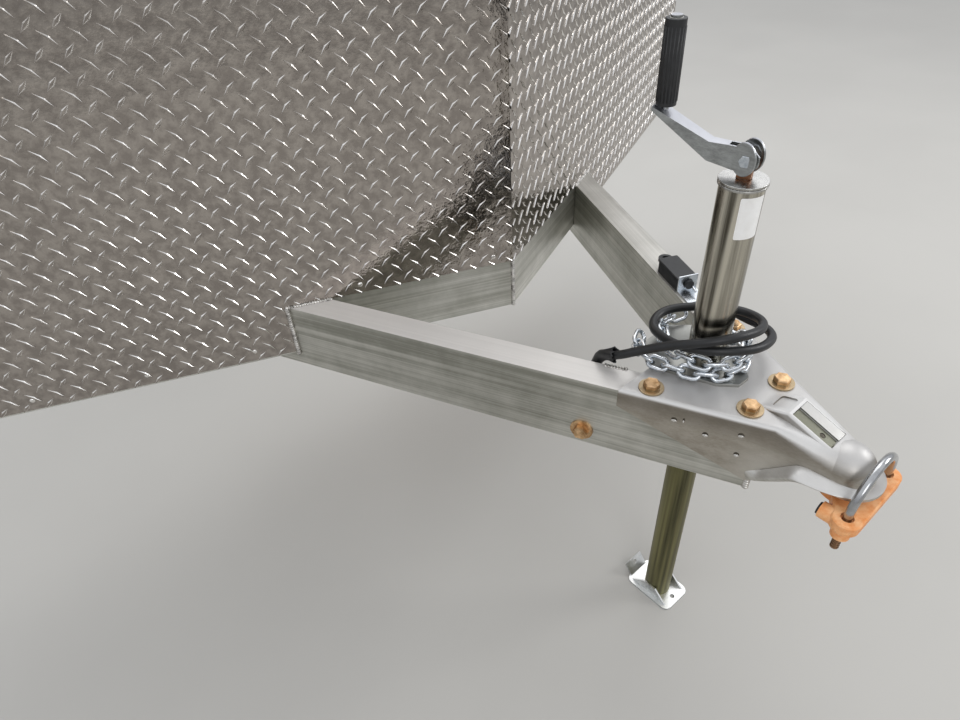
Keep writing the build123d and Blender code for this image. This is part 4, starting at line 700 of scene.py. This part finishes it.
# 18 moulded flutes round the grip, between a collar at each end
grip_low, grip_high = [Vector(corner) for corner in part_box("crank_grip")]
grip_at = (grip_low + grip_high) / 2
flute_count, flute_at, collar_radius = 18, 0.0121, 0.0126
bm = bmesh.new()
for count in range(flute_count):
    flute = bmesh.ops.create_cone(bm, cap_ends=True, segments=8, radius1=0.0013, radius2=0.0011, depth=0.086)["verts"]
    bmesh.ops.translate(bm, vec=(flute_at, 0, -0.002), verts=flute)
    bmesh.ops.rotate(bm, matrix=Matrix.Rotation(count * 2 * pi / flute_count, 3, "Z"), verts=flute)
for z in (-0.0478, 0.0448):
    collar = bmesh.ops.create_cone(bm, cap_ends=True, segments=32, radius1=collar_radius, radius2=collar_radius,
                                   depth=0.0036)["verts"]
    bmesh.ops.translate(bm, vec=(0, 0, z), verts=collar)
bmesh.ops.translate(bm, vec=grip_at, verts=bm.verts)
keep("grip_flutes", bm, black_plastic, body="crank_grip_body")
# the top of the handle's pin shows pale in the grip's end
pin_end = cloudy("pale pin end", "#a5a39b", "#c9c8c2", 300.0, (0.4, 0.6), 0.0)
bm = bmesh.new()
end = bmesh.ops.create_cone(bm, cap_ends=True, segments=24, radius1=0.0088, radius2=0.0078, depth=0.0012)["verts"]
bmesh.ops.translate(bm, vec=(grip_at.x, grip_at.y, grip_high.z - 0.0004), verts=end)
keep("grip_end", bm, pin_end, body="crank_grip_body")

# Coupler lock: a cast body in orange paint, sun faded and worn to the metal on its edges, hangs on a bent
# chromed rod through the coupler's lip. The key's face is black.
orange_paint, tree, shader, where, _, ramp = mottled(
    "sun faded orange paint", "#e8924c", "#f8bd86", {"Scale": 55.0, "Detail": 4.0, "Roughness": 0.65}, (0.36, 0.62),
    Roughness=0.52)
chips = add(tree, "ShaderNodeTexNoise", {"Scale": 210.0, "Detail": 5.0, "Roughness": 0.7},
            {"Vector": where.outputs["Object"]})
facing = add(tree, "ShaderNodeNewGeometry")
edge = add(tree, "ShaderNodeMapRange", {"From Min": 0.52, "From Max": 0.6}, {"Value": facing.outputs["Pointiness"]})
chipped = add(tree, "ShaderNodeMapRange", {"From Min": 0.5, "From Max": 0.56}, {"Value": chips.outputs["Fac"]})
bare = add(tree, "ShaderNodeMath", links={0: edge.outputs["Result"], 1: chipped.outputs["Result"]},
           operation="MULTIPLY")
worn_to = add(tree, "ShaderNodeMix", {7: tone("#6d5a4a")}, {0: bare.outputs[0], 6: ramp.outputs["Color"]},
              data_type="RGBA")
tree.links.new(worn_to.outputs[2], shader.inputs["Base Color"])
bump = add(tree, "ShaderNodeBump", {"Strength": 0.3, "Distance": 0.0004}, {"Height": chips.outputs["Fac"]})
tree.links.new(bump.outputs["Normal"], shader.inputs["Normal"])
dress("lock_body", orange_paint)
soften("lock_body", 0.0008, 35)
dress("key_barrel", black_plastic)
# the rod's low end, from 46 mm below the rails' middle, is brown with rust
rod_chrome, tree, shader, where, _, ramp = mottled(
    "dulled chrome rod", "#8f8f90", "#c9cbcd", {"Scale": 85.0, "Detail": 4.0}, Metallic=1.0, Roughness=0.2)
low = add(tree, "ShaderNodeSeparateXYZ", links={"Vector": where.outputs["Object"]})
rusty = add(tree, "ShaderNodeMapRange", {"From Min": -0.046, "From Max": -0.05}, {"Value": low.outputs["Z"]})
brown = add(tree, "ShaderNodeMix", {7: tone("#8a6a50")}, {0: rusty.outputs["Result"], 6: ramp.outputs["Color"]},
            data_type="RGBA")
tree.links.new(brown.outputs[2], shader.inputs["Base Color"])
dress("lock_shackle", rod_chrome)
soften("lock_shackle", 0.0005, 50)

# Breakaway switch: a black plastic box with fine ribs down its sides, on a bent bright bracket, with its
# pull pin in the round socket. The ribs stand 3.8 mm apart.
dress("breakaway_switch", black_plastic)
soften("breakaway_switch", 0.0009, 30)
dress("switch_bracket", bright_zinc)
soften("switch_bracket", 0.0005, 30)
# the box stands on the street rail, so it has the rail's 25 degrees
switch_frame = standing((0.16275, -0.76429, 0.0641), Vector((0.42262, 0.90631, 0)), Vector((-0.90631, 0.42262, 0)),
                        Vector((0, 0, 1)))
rib_pitch, rib_size, rib_aside = 0.0038, (0.0017, 0.0014, 0.0215), 0.0181
bm = bmesh.new()
for count in range(17):
    for aside in (-rib_aside, rib_aside):
        rib = bmesh.ops.create_cube(bm, size=1)["verts"]
        bmesh.ops.scale(bm, vec=rib_size, verts=rib)
        bmesh.ops.translate(bm, vec=(rib_pitch * (count - 8), aside, -0.0008), verts=rib)
bmesh.ops.bevel(bm, geom=bm.edges[:], affect="EDGES", offset=0.0003, segments=1, profile=0.5, material=-1)
bmesh.ops.transform(bm, matrix=switch_frame, verts=bm.verts)
keep("switch_ribs", bm, black_plastic)
# a bent wire end shows bright at the box's rear corner, and another at the pin in its socket
wire_radius = 0.0019
bm = bmesh.new()
for place, turn, length in (((0.0385, 0.0115, -0.001), 0.35, 0.015), ((-0.0535, -0.004, -0.001), 1.35, 0.014)):
    wire = bmesh.ops.create_cone(bm, cap_ends=True, segments=12, radius1=wire_radius, radius2=wire_radius,
                                 depth=length)["verts"]
    rims = {e for v in wire for e in v.link_edges if len(e.link_faces) == 2 and e.calc_face_angle() > 1}
    bmesh.ops.bevel(bm, geom=list(rims), affect="EDGES", offset=0.0006, segments=2, profile=0.5, material=-1)
    # the bevel makes new vertices, so the ones already set down carry a tag
    new = [v for v in bm.verts if not v.tag]
    bmesh.ops.transform(bm, matrix=Matrix.Translation(place) @ Matrix.Rotation(turn, 4, "Y"), verts=new)
    for v in bm.verts:
        v.tag = True
bmesh.ops.transform(bm, matrix=switch_frame, verts=bm.verts)
keep("switch_wire", bm, bright_zinc)

# The floor under it, pale and plain, 0.2 mm below the jack's foot. It is only a stage for the pictures,
# and no piece of the trailer.
ground = -0.5524
bm = bmesh.new()
bmesh.ops.create_grid(bm, x_segments=1, y_segments=1, size=30)
bmesh.ops.translate(bm, vec=(0, 0, ground), verts=bm.verts)
mesh = bpy.data.meshes.new("floor")
bm.to_mesh(mesh)
bm.free()
floor = bpy.data.objects.new("floor", mesh)
bpy.context.scene.collection.objects.link(floor)
mesh.materials.append(cloudy("pale floor", "#bbb9b4", "#bfbdb8", 1.5, (0.85, 0.95), 0.0))

# Soft studio light: a pale room, a shade darker toward the floor, and three broad lamps, of which the
# overhead one is the strongest.
world = bpy.data.worlds.new("room")
bpy.context.scene.world = world
world.use_nodes = True
tree = world.node_tree
where = add(tree, "ShaderNodeTexCoord")
height = add(tree, "ShaderNodeSeparateXYZ", links={"Vector": where.outputs["Generated"]})
level = add(tree, "ShaderNodeMapRange", {"From Min": -0.05, "From Max": 0.45, "To Min": 0.45, "To Max": 0.95},
            {"Value": height.outputs["Z"]})
tree.nodes["Background"].inputs["Color"].default_value = tone("#f4f6fa")
tree.links.new(level.outputs["Result"], tree.nodes["Background"].inputs["Strength"])
for name, place, aim, size, power in (
    ("overhead lamp", (1.6, 0.6, 3.2), (0, -0.7, 0), 2.8, 40),
    ("front lamp", (-2.2, -4.2, 2.2), (0, -0.6, 0.1), 1.8, 25),
    ("far lamp", (3.0, -2.6, 1.8), (0, -0.8, 0.1), 1.2, 30),
):
    lamp = bpy.data.objects.new(name, bpy.data.lights.new(name, "AREA"))
    lamp.data.size, lamp.data.energy = size, power
    lamp.location = place
    lamp.rotation_mode = "QUATERNION"
    lamp.rotation_quaternion = (Vector(aim) - Vector(place)).to_track_quat("-Z", "Y")
    bpy.context.scene.collection.objects.link(lamp)

bpy.context.view_layer.update()
